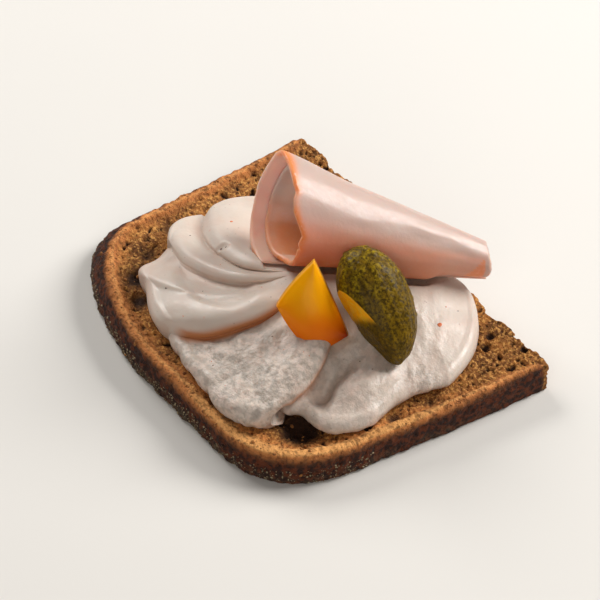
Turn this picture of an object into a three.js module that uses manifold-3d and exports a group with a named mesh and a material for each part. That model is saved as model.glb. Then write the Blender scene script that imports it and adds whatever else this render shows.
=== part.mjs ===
// An open sandwich: half a slice of dark rye bread under a piped rosette of savoury cream, with a
// cone of rolled ham, a diamond of yellow pepper and a sliced gherkin set into the cream.
// Millimetres, +Z up. The origin is the middle of the whole sandwich's box, at the slice's underside.
import * as THREE from "three";
import { mergeVertices } from "three/addons/utils/BufferGeometryUtils.js";
import Module from "manifold-3d";

const { clamp, degToRad, lerp, smoothstep } = THREE.MathUtils;
const wasm = await Module();
wasm.setup();

// Driving dimensions. Places are measured from the middle of the slice, heights from its underside.
const CLEARANCE = 0.3; // between pieces that touch

const BREAD = {
  thickness: 6.4,
  left: -35.4,
  front: -28.4,
  right: 31.7, // at the front of the right side, which flares towards the cut
  rightAtCut: 35.6,
  cut: 27.4, // the bare cut face, opposite the front crust
  crustSteps: 66,
  cutSteps: 26,
  rimLift: 0.4, // the crust stands this far above the crumb
  sag: 0.35, // the crumb dips this far behind the crust
  sagGrows: [0.74, 0.9], // between these shares of the way out
  waveHeight: 0.15, // of the bare crumb
  bulges: [ // where the crust wall swells out under its rim, and how far
    { at: new THREE.Vector2(-35, -14), swell: 2.9 },
    { at: new THREE.Vector2(27, -24), swell: 0.6 },
  ],
  bulgeSpread: 15,
  crust: [0.925, 0.955, 0.985], // shares of the way out: the rim's inner foot, its crest, its outer edge
};

const CREAM = {
  middle: new THREE.Vector2(0.5, -0.5),
  edge: 3.6, // thickness of a petal at the rim
  rounding: 2.1, // how far in from the rim its rounded edge reaches
  crown: 10.4, // height of the rosette's middle above the bread
  twist: degToRad(56), // the petals' turn from the rim to the middle
  crest: 0.86, // where across a petal its ridge is highest
  overhang: 1.1, // how far a ridge leans over the next petal
  reliefGrows: [0.06, 0.42], // the ridges rise between these shares of the way out
  leanGrows: [0.1, 0.4],
  underside: [0, 0.45, 0.8], // its rings, as shares of the way out
  edgeTurns: [-90, -50, -15, 20, 55, 90].map(degToRad), // round the rim, from underside to top
  topRows: 13,
};

// The petals in turn, each up to the ledge where it overhangs the next: the ledge's bearing in
// degrees, its height, and the rim's reach at the petal's start, middle and end.
const PETALS = [
  { bearing: 180, ledge: 1.6, rim: [26.5, 28, 27.6] },
  { bearing: 202, ledge: 2.7, rim: [28, 29.3, 28.2] },
  { bearing: 250, ledge: 3, rim: [27.8, 27.6, 25] },
  { bearing: 284, ledge: 0.4, rim: [24.8, 25.4, 27] },
  { bearing: 312, ledge: 2.5, rim: [27.4, 30.3, 30.2] },
  { bearing: 352, ledge: 0.6, rim: [23.6, 30, 29.2] },
  { bearing: 378, ledge: 0.8, rim: [28.8, 29, 31] },
  { bearing: 422, ledge: 2.3, rim: [31.4, 31.9, 29.2] },
  { bearing: 460, ledge: 2.2, rim: [27.4, 28.6, 27] },
  { bearing: 500, ledge: 2.2, rim: [26, 27.8, 26.4] },
];
const PETAL_COLUMNS = [0, 0.05, 0.14, 0.28, 0.44, 0.6, 0.74, 0.86, 0.94, 0.985];

const HAM = {
  mouth: new THREE.Vector3(-8.7, -3.3, 26.3),
  tip: new THREE.Vector3(16.1, 27.9, 16.1),
  mouthRadius: 10.6,
  tipRadius: 3.5,
  sheet: 1,
  pitch: 1.25, // from one layer of the roll to the next
  turns: 1.5,
  seam: degToRad(-70), // where the outer edge of the sheet lies
  peak: degToRad(124), // the fold at the top of the mouth
  peakRise: [0.18, 0.12], // of the radius, at the mouth and past peakFades of the length
  peakFades: 0.35,
  peakSpread: degToRad(75),
  slant: 5.8, // the mouth is cut back this far on the near side
  heels: [ // where the mouth's edge lies further back, or further out
    { at: degToRad(170), back: 0.85, spread: degToRad(38) },
    { at: degToRad(265), back: -1.05, spread: degToRad(32) },
  ],
  tipSlant: 1.7, // the tip reaches this much further on its near side, underneath
  tipSlantAt: degToRad(-40),
  recess: 2.4, // the inner layer starts this far inside the mouth
  innerTurns: [0.6, 1], // the sheet passes inside its own first turn between these turns
  // Where the roll sags out underneath, and how far along it the sag rises and falls.
  belly: { at: degToRad(-55), spread: degToRad(40), swell: 1.6, rises: [23, 28], falls: [31.5, 34.5] },
  aroundSteps: 60,
  alongSteps: 17,
};

const PEPPER = {
  foot: new THREE.Vector3(12.7, -8.9, 12.7),
  across: new THREE.Vector3(0.645, 0.764, 0).normalize(),
  up: new THREE.Vector3(-0.366, 0.329, 0.87).normalize(),
  corners: [[0, 0], [7.6, 3.2], [0.4, 16.8], [-5.7, 7.4]], // foot, right, head, left
  thickness: 3.4,
  crown: 1.1, // how far the skin bows out in the middle
  roundEdge: 0.5,
  edgePower: 6, // how suddenly the skin turns down at its edge
  steps: 8,
};

const PICKLE = {
  foot: new THREE.Vector3(24.5, 1.4, 12.1),
  head: new THREE.Vector3(8.8, 4.1, 27.5),
  skinward: new THREE.Vector3(0.5335, -0.4497, 0.7163), // square to the gherkin's width
  depth: 5.4, // half its thickness that way
  bulge: 6.3, // half its width
  bend: 0.7,
  bluntness: 2.3,
  cutInset: 3, // from the gherkin's middle to the cut that takes one side off
  cutTilt: degToRad(20),
  cutSkew: degToRad(21), // the cut goes deeper towards the foot
  aroundSteps: 28,
  alongSteps: 18,
};

/** Moves each vertex to where place(point, u, v) puts it. */
function reshape(geometry, place) {
  const { position, uv } = geometry.attributes;
  const point = new THREE.Vector3();
  for (let i = 0; i < position.count; i++) {
    point.fromBufferAttribute(position, i);
    place(point, uv.getX(i), uv.getY(i));
    position.setXYZ(i, point.x, point.y, point.z);
  }
  return geometry;
}

/** A rounded hill, 1 high at 0. */
function bell(distance) {
  return Math.exp(-(distance ** 2));
}

/** The solid that a closed geometry bounds. */
function solidOf(geometry) {
  const bare = geometry.clone();
  bare.deleteAttribute("normal");
  bare.deleteAttribute("uv");
  const merged = mergeVertices(bare, 1e-3);
  return new wasm.Manifold(
    new wasm.Mesh({
      numProp: 3,
      vertProperties: merged.attributes.position.array,
      triVerts: new Uint32Array(merged.index.array),
    }),
  );
}

/** The geometry of a solid. */
function geometryOf(solid) {
  const mesh = solid.getMesh();
  const geometry = new THREE.BufferGeometry();
  geometry.setAttribute("position", new THREE.BufferAttribute(mesh.vertProperties, 3));
  geometry.setIndex(new THREE.BufferAttribute(mesh.triVerts, 1));
  geometry.computeVertexNormals();
  return geometry;
}

/** The slice's outline, once round from the cut's left end: crust on three sides, then the cut. */
function breadOutline() {
  const crust = new THREE.Path();
  crust.moveTo(BREAD.left + 1, BREAD.cut);
  crust.lineTo(BREAD.left, -11);
  crust.bezierCurveTo(BREAD.left, -19, -24, -27, -8, BREAD.front);
  crust.lineTo(13, BREAD.front);
  crust.bezierCurveTo(24, BREAD.front, BREAD.right - 1, -22, BREAD.right, -8);
  crust.quadraticCurveTo(BREAD.right + 2.7, 8, BREAD.rightAtCut, BREAD.cut);
  const outline = crust.getSpacedPoints(BREAD.crustSteps);
  const start = outline[outline.length - 1];
  for (let i = 1; i < BREAD.cutSteps; i++) {
    const point = start.clone().lerp(outline[0], i / BREAD.cutSteps);
    point.y += 0.35 * Math.sin(i * 1.9) + 0.25 * Math.sin(i * 0.8);
    outline.push(point);
  }
  return outline;
}

/** How far the crust wall swells out below a point of its rim. */
function bulgeAt(edge) {
  return BREAD.bulges.reduce((sum, { at, swell }) => {
    return sum + swell * bell(edge.distanceTo(at) / BREAD.bulgeSpread);
  }, 0);
}

/** How far the top stands off the slice's nominal thickness. */
function crumbLift(x, y, reach, crusted) {
  const [foot, crest, brink] = BREAD.crust;
  const rise = smoothstep(reach, foot, crest);
  const rim = crusted ? rise * (1 - 0.6 * smoothstep(reach, crest, brink)) : 0;
  const bare = smoothstep(reach, ...BREAD.sagGrows) * (1 - rise);
  const waves = Math.sin(x * 0.9 + 1.3) * Math.sin(y * 0.8) + 0.6 * Math.sin(x * 1.7 - y);
  return BREAD.rimLift * rim - (BREAD.sag + BREAD.waveHeight * waves) * bare;
}

/** Half a slice of bread: a flat base, a crust wall with a low rim, and an uneven crumb. */
function makeBread() {
  const outline = breadOutline();
  const columns = outline.length;
  const top = BREAD.thickness;
  // Each ring: its share of the way out, its height, and its share of the wall's bulge.
  const rings = [
    [0, 0, 0], [0.6, 0, 0], [0.97, 0, 0.6], [1, 0.5, 0.9], [1, 1.6, 1], [1, 3.4, 0.8], [1, 5.2, 0.35],
    [1, top - 0.3, 0], [0.982, top, 0], [0.955, top, 0], [0.925, top, 0], [0.87, top, 0], [0.8, top, 0],
    [0.7, top, 0], [0.4, top, 0], [0, top, 0],
  ];
  const profile = rings.map(([reach, height]) => new THREE.Vector2(reach, height));
  return reshape(new THREE.LatheGeometry(profile, columns), (point, u, v) => {
    const column = Math.round(u * columns) % columns;
    const [reach, height, share] = rings[Math.round(v * (rings.length - 1))];
    const edge = outline[column];
    const crusted = column > 0 && column < BREAD.crustSteps;
    const swell = crusted ? share * bulgeAt(edge) : 0;
    const spread = reach + swell / edge.length();
    const lift = height < top ? 0 : crumbLift(edge.x * reach, edge.y * reach, reach, crusted);
    point.set(edge.x * spread, edge.y * spread, height + lift);
  });
}

/** How high a petal's section stands at a share across it: up to its ridge and over its lip. */
function petalSection(across) {
  if (across < CREAM.crest) return (1 - Math.cos((Math.PI * across) / CREAM.crest)) / 2;
  return 1 - 0.5 * ((across - CREAM.crest) / (1 - CREAM.crest)) ** 2;
}

/** The rosette at one column: its bearing at the rim, reach, relief and lean. */
function petalColumn(index) {
  const turn = Math.floor(index / PETAL_COLUMNS.length) % PETALS.length;
  const across = PETAL_COLUMNS[index % PETAL_COLUMNS.length];
  const petal = PETALS[turn];
  const last = PETALS[(turn + PETALS.length - 1) % PETALS.length];
  const start = turn === 0 ? last.bearing - 360 : last.bearing;
  const [first, middle, end] = petal.rim;
  const curve = first * (1 - across) * (1 - 2 * across) + middle * 4 * across * (1 - across) +
    end * across * (2 * across - 1);
  return {
    bearing: degToRad(lerp(start, petal.bearing, across)),
    reach: curve - 0.4 * petal.ledge * smoothstep(across, CREAM.crest, 1),
    relief: lerp(-last.ledge / 2, petal.ledge / 2, petalSection(across)),
    lean: CREAM.overhang * smoothstep(across, CREAM.crest, 1) * clamp(petal.ledge / 2.5, 0, 1),
  };
}

/** The radius and height of one row of the rosette at a column: underside, rounded edge, then top. */
function creamRow(row, column) {
  const { underside, edgeTurns, topRows } = CREAM;
  const inner = column.reach - CREAM.rounding;
  const onEdge = row - underside.length;
  if (onEdge < 0) return { radius: underside[row] * inner, height: 0 };
  if (onEdge < edgeTurns.length) {
    const edge = CREAM.edge + 0.8 * column.relief;
    const turn = edgeTurns[onEdge];
    return {
      radius: inner + CREAM.rounding * Math.cos(turn),
      height: (edge / 2) * (1 + Math.sin(turn)),
    };
  }
  const inward = 1 - (onEdge - edgeTurns.length + 1) / topRows;
  const dome = CREAM.edge + (CREAM.crown - CREAM.edge) * (1 - inward ** 2);
  const growth = smoothstep(inward, ...CREAM.reliefGrows) * lerp(1, 0.8, smoothstep(inward, 0.8, 1));
  return { radius: inner * inward, height: dome + column.relief * growth };
}

/** The piped rosette: petals that sweep out from the crown, each overlapping the next. */
function makeCream() {
  const base = BREAD.thickness + CLEARANCE;
  const columns = PETALS.length * PETAL_COLUMNS.length;
  const rows = CREAM.underside.length + CREAM.edgeTurns.length + CREAM.topRows;
  const last = rows - 1;
  const profile = Array.from({ length: rows }, (_, row) => {
    return new THREE.Vector2(row > 0 && row < last ? 1 : 0, row);
  });
  return reshape(new THREE.LatheGeometry(profile, columns), (point, u, v) => {
    const column = petalColumn(Math.round(u * columns) % columns);
    const { radius, height } = creamRow(Math.round(v * last), column);
    const share = radius / column.reach;
    const lean = height > 0 ? (column.lean * smoothstep(share, ...CREAM.leanGrows)) / column.reach : 0;
    const bearing = column.bearing + CREAM.twist * (1 - share) + lean / Math.max(share, 0.1);
    point.set(
      CREAM.middle.x + radius * Math.cos(bearing),
      CREAM.middle.y + radius * Math.sin(bearing),
      base + height,
    );
  });
}

/** The unsigned angle from one bearing to another. */
function angleBetween(a, b) {
  return Math.abs(Math.atan2(Math.sin(a - b), Math.cos(a - b)));
}

/** How far along the ham's cone the edge of its mouth lies at an angle. */
function mouthEdge(angle) {
  return HAM.heels.reduce((travel, { at, back, spread }) => {
    return travel + back * bell(angleBetween(angle, at) / spread);
  }, (HAM.slant / 2) * (1 + Math.cos(angle)));
}

/** A point of the ham's cone: angle round it, millimetres along it, and depth under its outer face. */
function hamPoint(angle, travel, depth) {
  const axis = HAM.tip.clone().sub(HAM.mouth);
  const along = travel / axis.length();
  axis.normalize();
  const up = new THREE.Vector3(0, 0, 1).projectOnPlane(axis).normalize();
  const side = new THREE.Vector3().crossVectors(axis, up);
  const fold = clamp(1 - angleBetween(angle, HAM.peak) / HAM.peakSpread, 0, 1) ** 2;
  const rise = lerp(...HAM.peakRise, smoothstep(along, 0, HAM.peakFades)) * fold;
  const { at, spread, swell, rises, falls } = HAM.belly;
  const belly = swell * bell(angleBetween(angle, at) / spread) * smoothstep(travel, ...rises) *
    (1 - smoothstep(travel, ...falls));
  const radius = lerp(HAM.mouthRadius, HAM.tipRadius, along) * (1 + rise) + belly - depth;
  return HAM.mouth.clone()
    .addScaledVector(axis, travel)
    .addScaledVector(side, radius * Math.cos(angle))
    .addScaledVector(up, radius * Math.sin(angle));
}

/** The ham: one thin slice rolled into a cone, one and a half times round. */
function makeHam() {
  const length = HAM.mouth.distanceTo(HAM.tip);
  const geometry = new THREE.BoxGeometry(1, 1, 1, HAM.aroundSteps, HAM.alongSteps, 1);
  return reshape(geometry, (point) => {
    const turned = HAM.turns * (0.5 + point.x);
    const angle = HAM.seam - 2 * Math.PI * turned;
    const depth = HAM.pitch * turned + HAM.sheet * (0.5 - point.z);
    const inner = smoothstep(turned, ...HAM.innerTurns);
    const start = mouthEdge(angle) + HAM.recess * inner;
    const end = length + (HAM.tipSlant / 2) * (1 + Math.cos(angle - HAM.tipSlantAt));
    point.copy(hamPoint(angle, lerp(start, end, point.y + 0.5), depth));
  });
}

/** The space that the ham's cone takes up, filled and a little larger all round. */
function hamSpace() {
  const length = HAM.mouth.distanceTo(HAM.tip);
  const geometry = new THREE.CylinderGeometry(1, 1, 1, 60, 20);
  return reshape(geometry, (point) => {
    const onWall = Math.hypot(point.x, point.z) > 0.5;
    const angle = Math.atan2(point.z, point.x);
    const travel = lerp(-CLEARANCE, length + HAM.tipSlant, point.y + 0.5);
    const wall = hamPoint(angle, travel, -CLEARANCE);
    const opposite = hamPoint(angle + Math.PI, travel, -CLEARANCE);
    point.copy(onWall ? wall : wall.lerp(opposite, 0.5));
  });
}

/** The pepper: a diamond cut from the wall of a pepper, its skin bowed outwards. */
function makePepper(grow) {
  const [foot, right, head, left] = PEPPER.corners.map(([x, y]) => new THREE.Vector2(x, y));
  const centre = foot.clone().add(right).add(head).add(left).divideScalar(4);
  const out = new THREE.Vector3().crossVectors(PEPPER.across, PEPPER.up);
  const geometry = new THREE.BoxGeometry(1, 1, 1, PEPPER.steps, PEPPER.steps, 1);
  return reshape(geometry, (point) => {
    const { x, y, z } = point;
    const lower = foot.clone().lerp(right, x + 0.5);
    const upper = left.clone().lerp(head, x + 0.5);
    const flat = lower.lerp(upper, y + 0.5);
    flat.add(flat.clone().sub(centre).setLength(grow));
    const bow = PEPPER.crown * Math.cos(Math.PI * x) * Math.cos(Math.PI * y);
    const outward = 2 * Math.max(Math.abs(x), Math.abs(y));
    const rounding = z > 0 ? PEPPER.roundEdge * outward ** PEPPER.edgePower : 0;
    point.copy(PEPPER.foot)
      .addScaledVector(PEPPER.across, flat.x)
      .addScaledVector(PEPPER.up, flat.y)
      .addScaledVector(out, z * (PEPPER.thickness + 2 * grow) + bow - rounding);
  });
}

/** The pickle: a small gherkin with one side sliced off, standing on its end with its flesh to the side. */
function makePickle(grow) {
  const axis = PICKLE.head.clone().sub(PICKLE.foot);
  const half = axis.length() / 2;
  axis.normalize();
  const middle = PICKLE.head.clone().lerp(PICKLE.foot, 0.5);
  const facing = PICKLE.skinward.clone().projectOnPlane(axis).normalize();
  const side = new THREE.Vector3().crossVectors(axis, facing);
  const gherkin = new THREE.SphereGeometry(1, PICKLE.aroundSteps, PICKLE.alongSteps);
  reshape(gherkin, (point) => {
    const { x, y, z } = point;
    const bend = PICKLE.bend * (1 - y * y);
    const blunt = (1 - Math.abs(y) ** PICKLE.bluntness) ** 0.5 / Math.max(Math.hypot(x, z), 1e-6);
    point.copy(middle)
      .addScaledVector(axis, y * (half + grow))
      .addScaledVector(side, x * blunt * (PICKLE.bulge + grow) + bend)
      .addScaledVector(facing, z * blunt * (PICKLE.depth + grow));
  });
  const inward = side.multiplyScalar(Math.cos(PICKLE.cutTilt))
    .addScaledVector(facing, -Math.sin(PICKLE.cutTilt))
    .multiplyScalar(Math.cos(PICKLE.cutSkew))
    .addScaledVector(axis, Math.sin(PICKLE.cutSkew));
  const offset = inward.dot(middle) - PICKLE.cutInset - grow;
  return solidOf(gherkin).trimByPlane(inward.toArray(), offset);
}

const bread = geometryOf(solidOf(makeBread()));
const ham = geometryOf(solidOf(makeHam()));
const pepper = geometryOf(solidOf(makePepper(0)));
const pickle = geometryOf(makePickle(0));
const cream = geometryOf(
  solidOf(makeCream())
    .subtract(solidOf(hamSpace()))
    .subtract(solidOf(makePepper(CLEARANCE)))
    .subtract(makePickle(CLEARANCE)),
);

const PIECES = [
  { name: "bread", geometry: bread, color: 0x8a5a33, roughness: 0.95 },
  { name: "cream", geometry: cream, color: 0xe9dcd2, roughness: 0.5 },
  { name: "ham_roll", geometry: ham, color: 0xecc4b4, roughness: 0.45 },
  { name: "pepper", geometry: pepper, color: 0xf09a10, roughness: 0.25 },
  { name: "pickle", geometry: pickle, color: 0x6f6d1c, roughness: 0.35 },
];

const sandwich = new THREE.Group();
for (const { name, geometry, color, roughness } of PIECES) {
  const material = new THREE.MeshStandardMaterial({ color, roughness, metalness: 0 });
  const mesh = new THREE.Mesh(geometry, material);
  mesh.name = name;
  sandwich.add(mesh);
}
const middle = new THREE.Box3().setFromObject(sandwich, true).getCenter(new THREE.Vector3());
for (const mesh of sandwich.children) mesh.position.set(-middle.x, -middle.y, 0);

export default sandwich;
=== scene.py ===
"""An open sandwich, modelled and dressed for rendering.

Half a slice of dark rye bread carries a piped rosette of savoury cream, with a cone of rolled ham, a
diamond of yellow pepper and a sliced gherkin set into it. Shapes are worked out in millimetres from
the middle of the slice at its underside, and are put into metres when a piece is finished.
"""
import logging
import math
import random
from abc import ABC, abstractmethod
from collections.abc import Callable, Sequence
from dataclasses import dataclass
from enum import Enum

import bmesh
import bpy
from bmesh.types import BMesh
from bpy.types import Material, Node, NodeSocket, Object
from mathutils import Matrix, Vector, noise
from mathutils.bvhtree import BVHTree
from mathutils.geometry import interpolate_bezier


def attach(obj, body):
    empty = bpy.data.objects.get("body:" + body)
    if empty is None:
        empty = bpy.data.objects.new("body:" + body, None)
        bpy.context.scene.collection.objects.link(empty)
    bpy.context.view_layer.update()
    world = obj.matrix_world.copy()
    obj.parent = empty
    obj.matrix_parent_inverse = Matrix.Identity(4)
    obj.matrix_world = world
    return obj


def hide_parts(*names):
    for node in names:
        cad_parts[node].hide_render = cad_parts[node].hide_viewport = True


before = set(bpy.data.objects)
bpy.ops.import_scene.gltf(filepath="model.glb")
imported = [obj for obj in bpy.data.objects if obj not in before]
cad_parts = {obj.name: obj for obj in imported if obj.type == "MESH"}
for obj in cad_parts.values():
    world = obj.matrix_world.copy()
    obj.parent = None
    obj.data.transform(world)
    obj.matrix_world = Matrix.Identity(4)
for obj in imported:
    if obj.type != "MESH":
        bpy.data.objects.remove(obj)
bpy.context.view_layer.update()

Colour = tuple[float, float, float, float]
Shade = NodeSocket | Colour
Corner = tuple[Vector, tuple[float, ...]]

log = logging.getLogger("sandwich")

MM = 0.001
SLICE_MIDDLE = Vector((1.23016, -0.69419, 0.0))  # millimetres, in the part's own frame
UP = Vector((0.0, 0.0, 1.0))
MERGE = 1e-4  # millimetres between corners that are one


class Slot(Enum):
    """The record's material slots."""

    BREAD = "bread"
    CREAM = "cream"
    HAM = "ham"
    PEPPER = "pepper"
    PICKLE = "pickle"


def ease(value: float, low: float, high: float) -> float:
    """Rises smoothly from 0 to 1.

    Args:
        value: The number to weigh.
        low: Where the rise starts.
        high: Where it ends.

    Returns:
        The share of the rise, from 0 to 1.
    """
    share = min(max((value - low) / (high - low), 0.0), 1.0)
    return share * share * (3.0 - 2.0 * share)


def between(start: float, end: float, share: float) -> float:
    """The number at a share of the way from start to end."""
    return start + (end - start) * share


def hump(distance: float, width: float) -> float:
    """A rounded hill of height 1 that fades over a width."""
    return math.exp(-((distance / width) ** 2))


def angle_between(first: float, second: float) -> float:
    """The unsigned angle from one bearing to another, in radians."""
    return abs(math.atan2(math.sin(first - second), math.cos(first - second)))


def read_off(value: float, table: Sequence[tuple[float, float]]) -> float:
    """Reads a number off a table, straight between its entries.

    Args:
        value: The number to look up.
        table: Pairs of a number and its result, the numbers rising.

    Returns:
        The result for that number.
    """
    for (low, at_low), (high, at_high) in zip(table, table[1:]):
        if value <= high:
            share = max((value - low) / (high - low), 0.0)
            return between(at_low, at_high, share)
    return table[-1][1]


def waver(place: Vector, size: float, seed: float = 0.0) -> float:
    """A smooth random number from about -0.9 to 0.9 at a place.

    Args:
        place: The place in millimetres.
        size: The width of one swell in millimetres.
        seed: Sets one use apart from another.

    Returns:
        The number at that place.
    """
    return noise.noise(place / size + Vector((seed, -seed * 1.7, seed * 0.6)))


def hollow(place: Vector, cell: float, open_share: float, radii: tuple[float, float]) -> float:
    """How deep a place lies in one of many scattered round hollows.

    Args:
        place: The place in millimetres.
        cell: The usual distance between hollows.
        open_share: The share of the cells that hold a hollow.
        radii: The smallest and the largest hollow's radius.

    Returns:
        From 0 outside every hollow to 1 at a hollow's middle.
    """
    distances, middles = noise.voronoi(place / cell)
    deepest = 0.0
    for distance, middle in zip(distances[:3], middles[:3]):
        draw = 0.5 + 0.5 * noise.cell(middle * 17.3)
        if draw > open_share:
            continue
        radius = between(radii[0], radii[1], draw / open_share)
        deepest = max(deepest, 1.0 - (distance * cell / radius) ** 2)
    return deepest


def evenly(points: Sequence[Vector], count: int) -> list[Vector]:
    """Walks along a line of points in equal steps.

    Args:
        points: The line's points.
        count: The number of steps.

    Returns:
        The count + 1 points of the walk, both ends included.
    """
    lengths = [0.0]
    for first, second in zip(points, points[1:]):
        lengths.append(lengths[-1] + (second - first).length)
    walk, leg = [], 0
    for step in range(count + 1):
        travelled = lengths[-1] * step / count
        while leg < len(points) - 2 and lengths[leg + 1] < travelled:
            leg += 1
        share = (travelled - lengths[leg]) / (lengths[leg + 1] - lengths[leg])
        walk.append(points[leg].lerp(points[leg + 1], min(share, 1.0)))
    return walk


def tone(red: float, green: float, blue: float) -> Colour:
    """A display colour, 0 to 255, as the linear colour that a shader takes."""
    linear = [((value / 255.0 + 0.055) / 1.055) ** 2.4 for value in (red, green, blue)]
    return (linear[0], linear[1], linear[2], 1.0)


# ---------------------------------------------------------------------------------------------
# Finishes
# ---------------------------------------------------------------------------------------------


class Bench:
    """One material's node tree, with short calls for the nodes that food needs."""

    def __init__(self, name: str) -> None:
        """Starts a material with its shader and its place on the piece.

        Args:
            name: The material's name.
        """
        self.material = bpy.data.materials.new(name)
        self.material.use_nodes = True
        self.tree = self.material.node_tree
        self.shader = self.tree.nodes["Principled BSDF"]
        self.place = self.node("ShaderNodeTexCoord").outputs["Object"]

    def node(self, kind: str, **settings: str) -> Node:
        """Adds a node.

        Args:
            kind: Blender's name for the node's type.
            **settings: The node's own settings.

        Returns:
            The new node.
        """
        made = self.tree.nodes.new(kind)
        for key, value in settings.items():
            setattr(made, key, value)
        return made

    def feed(self, socket: NodeSocket, value: NodeSocket | Colour | float) -> None:
        """Joins a value to a socket.

        Args:
            socket: The socket that takes it.
            value: Another socket, which is linked, or else a fixed value.
        """
        if isinstance(value, NodeSocket):
            self.tree.links.new(value, socket)
        else:
            socket.default_value = value

    def trait(self, name: str) -> NodeSocket:
        """A number that the piece's mesh carries at each corner."""
        return self.node("ShaderNodeAttribute", attribute_name=name).outputs["Fac"]

    def texture(self, kind: str, place: NodeSocket, size: float) -> Node:
        """Adds a texture node.

        Args:
            kind: Blender's name for the node's type.
            place: The places that it is read at.
            size: The width of its clouds or cells in millimetres.

        Returns:
            The new node.
        """
        made = self.node(kind)
        self.feed(made.inputs["Vector"], place)
        made.inputs["Scale"].default_value = 1.0 / (size * MM)
        return made

    def warped(self, size: float, amount: float) -> NodeSocket:
        """The piece's places, pushed about by clouds so that what reads them is uneven.

        Args:
            size: The width of the clouds in millimetres.
            amount: How far they push, in millimetres.

        Returns:
            The pushed places.
        """
        clouds = self.texture("ShaderNodeTexNoise", self.place, size)
        push = self.node("ShaderNodeVectorMath", operation="MULTIPLY_ADD")
        self.feed(push.inputs[0], clouds.outputs["Color"])
        push.inputs[1].default_value = (amount * MM,) * 3
        self.feed(push.inputs[2], self.place)
        return push.outputs[0]

    def mottle(self, size: float, detail: float = 3.0, roughness: float = 0.55) -> NodeSocket:
        """Cloudy noise.

        Args:
            size: The width of its clouds in millimetres.
            detail: How many finer layers it has.
            roughness: How strong those are.

        Returns:
            Its value, about 0.3 to 0.7.
        """
        clouds = self.texture("ShaderNodeTexNoise", self.place, size)
        clouds.inputs["Detail"].default_value = detail
        clouds.inputs["Roughness"].default_value = roughness
        return clouds.outputs["Fac"]

    def spots(self, size: float, bent: float = 0.0) -> NodeSocket:
        """The distance from scattered spots, in spacings of a size in millimetres.

        Args:
            size: The usual spacing.
            bent: How far the spots are pushed out of round.

        Returns:
            The distance as a share of the spacing.
        """
        place = self.warped(size, bent) if bent > 0.0 else self.place
        return self.texture("ShaderNodeTexVoronoi", place, size).outputs["Distance"]

    def rise(self, value: NodeSocket, low: float, high: float, top: float = 1.0) -> NodeSocket:
        """Rises smoothly from 0 to a top as a value goes from low to high.

        Args:
            value: The value to read.
            low: Where the rise starts.
            high: Where it ends; it may be the lower number.
            top: What it rises to.

        Returns:
            The risen value.
        """
        ramp = self.node("ShaderNodeMapRange", interpolation_type="SMOOTHSTEP")
        self.feed(ramp.inputs["Value"], value)
        for name, number in (("From Min", low), ("From Max", high), ("To Max", top)):
            ramp.inputs[name].default_value = number
        return ramp.outputs["Result"]

    def combine(
        self, operation: str, first: NodeSocket, second: NodeSocket | float
    ) -> NodeSocket:
        """Works two values out into one.

        Args:
            operation: Blender's name for the sum, such as SUBTRACT.
            first: The first value.
            second: The second value.

        Returns:
            The result.
        """
        made = self.node("ShaderNodeMath", operation=operation)
        self.feed(made.inputs[0], first)
        self.feed(made.inputs[1], second)
        return made.outputs[0]

    def times(self, first: NodeSocket, second: NodeSocket | float) -> NodeSocket:
        """One value times another."""
        return self.combine("MULTIPLY", first, second)

    def plus(self, first: NodeSocket, second: NodeSocket | float) -> NodeSocket:
        """One value plus another."""
        return self.combine("ADD", first, second)

    def layered(self, ground: Shade, *layers: tuple[NodeSocket, Shade]) -> Shade:
        """Lays colours one over another.

        Args:
            ground: The lowest colour.
            *layers: Pairs of how much of a colour shows and that colour, from the lowest up.

        Returns:
            The mixed colour.
        """
        mixed = ground
        for share, over in layers:
            made = self.node("ShaderNodeMix", data_type="RGBA")
            self.feed(made.inputs[0], share)
            self.feed(made.inputs[6], mixed)
            self.feed(made.inputs[7], over)
            mixed = made.outputs[2]
        return mixed

    def relief(self, *layers: tuple[NodeSocket, float]) -> None:
        """Gives the shader bumps.

        Args:
            *layers: Pairs of a height and what its whole range stands for in millimetres.
        """
        normal = None
        for height, depth in layers:
            bump = self.node("ShaderNodeBump")
            self.feed(bump.inputs["Height"], height)
            bump.inputs["Distance"].default_value = depth * MM
            if normal is not None:
                self.feed(bump.inputs["Normal"], normal)
            normal = bump.outputs["Normal"]
        self.feed(self.shader.inputs["Normal"], normal)

    def paint(self, ground: Shade, *layers: tuple[NodeSocket, Shade]) -> None:
        """Sets the shader's colour: a ground with layers of colour over it."""
        self.feed(self.shader.inputs["Base Color"], self.layered(ground, *layers))

    def roughen(self, unevenness: NodeSocket, smoothest: float) -> None:
        """Sets the shader's roughness: an uneven value on top of the smoothest."""
        self.feed(self.shader.inputs["Roughness"], self.plus(unevenness, smoothest))

    def shine(self, level: float) -> None:
        """Sets how strongly the bare surface mirrors light."""
        self.shader.inputs["Specular IOR Level"].default_value = level

    def glow(self, weight: float, radius: tuple[float, float, float], scale: float) -> None:
        """Lets light sink in and spread.

        Args:
            weight: The share of the light that sinks in.
            radius: How far red, green and blue spread, as shares of the scale.
            scale: The spread in millimetres.
        """
        self.shader.inputs["Subsurface Weight"].default_value = weight
        self.shader.inputs["Subsurface Radius"].default_value = radius
        self.shader.inputs["Subsurface Scale"].default_value = scale * MM

    def wet(self, weight: float, roughness: float) -> None:
        """Lays a clear moist film over the surface."""
        self.shader.inputs["Coat Weight"].default_value = weight
        self.shader.inputs["Coat Roughness"].default_value = roughness


class Finish(ABC):
    """What a piece is made to look like."""

    name: str

    @abstractmethod
    def dress(self, bench: Bench) -> None:
        """Lays the finish on.

        Args:
            bench: The bench of the finish's material.
        """

    def material(self) -> Material:
        """Makes the material.

        Returns:
            The finished material.
        """
        bench = Bench(self.name)
        self.dress(bench)
        return bench.material


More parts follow.
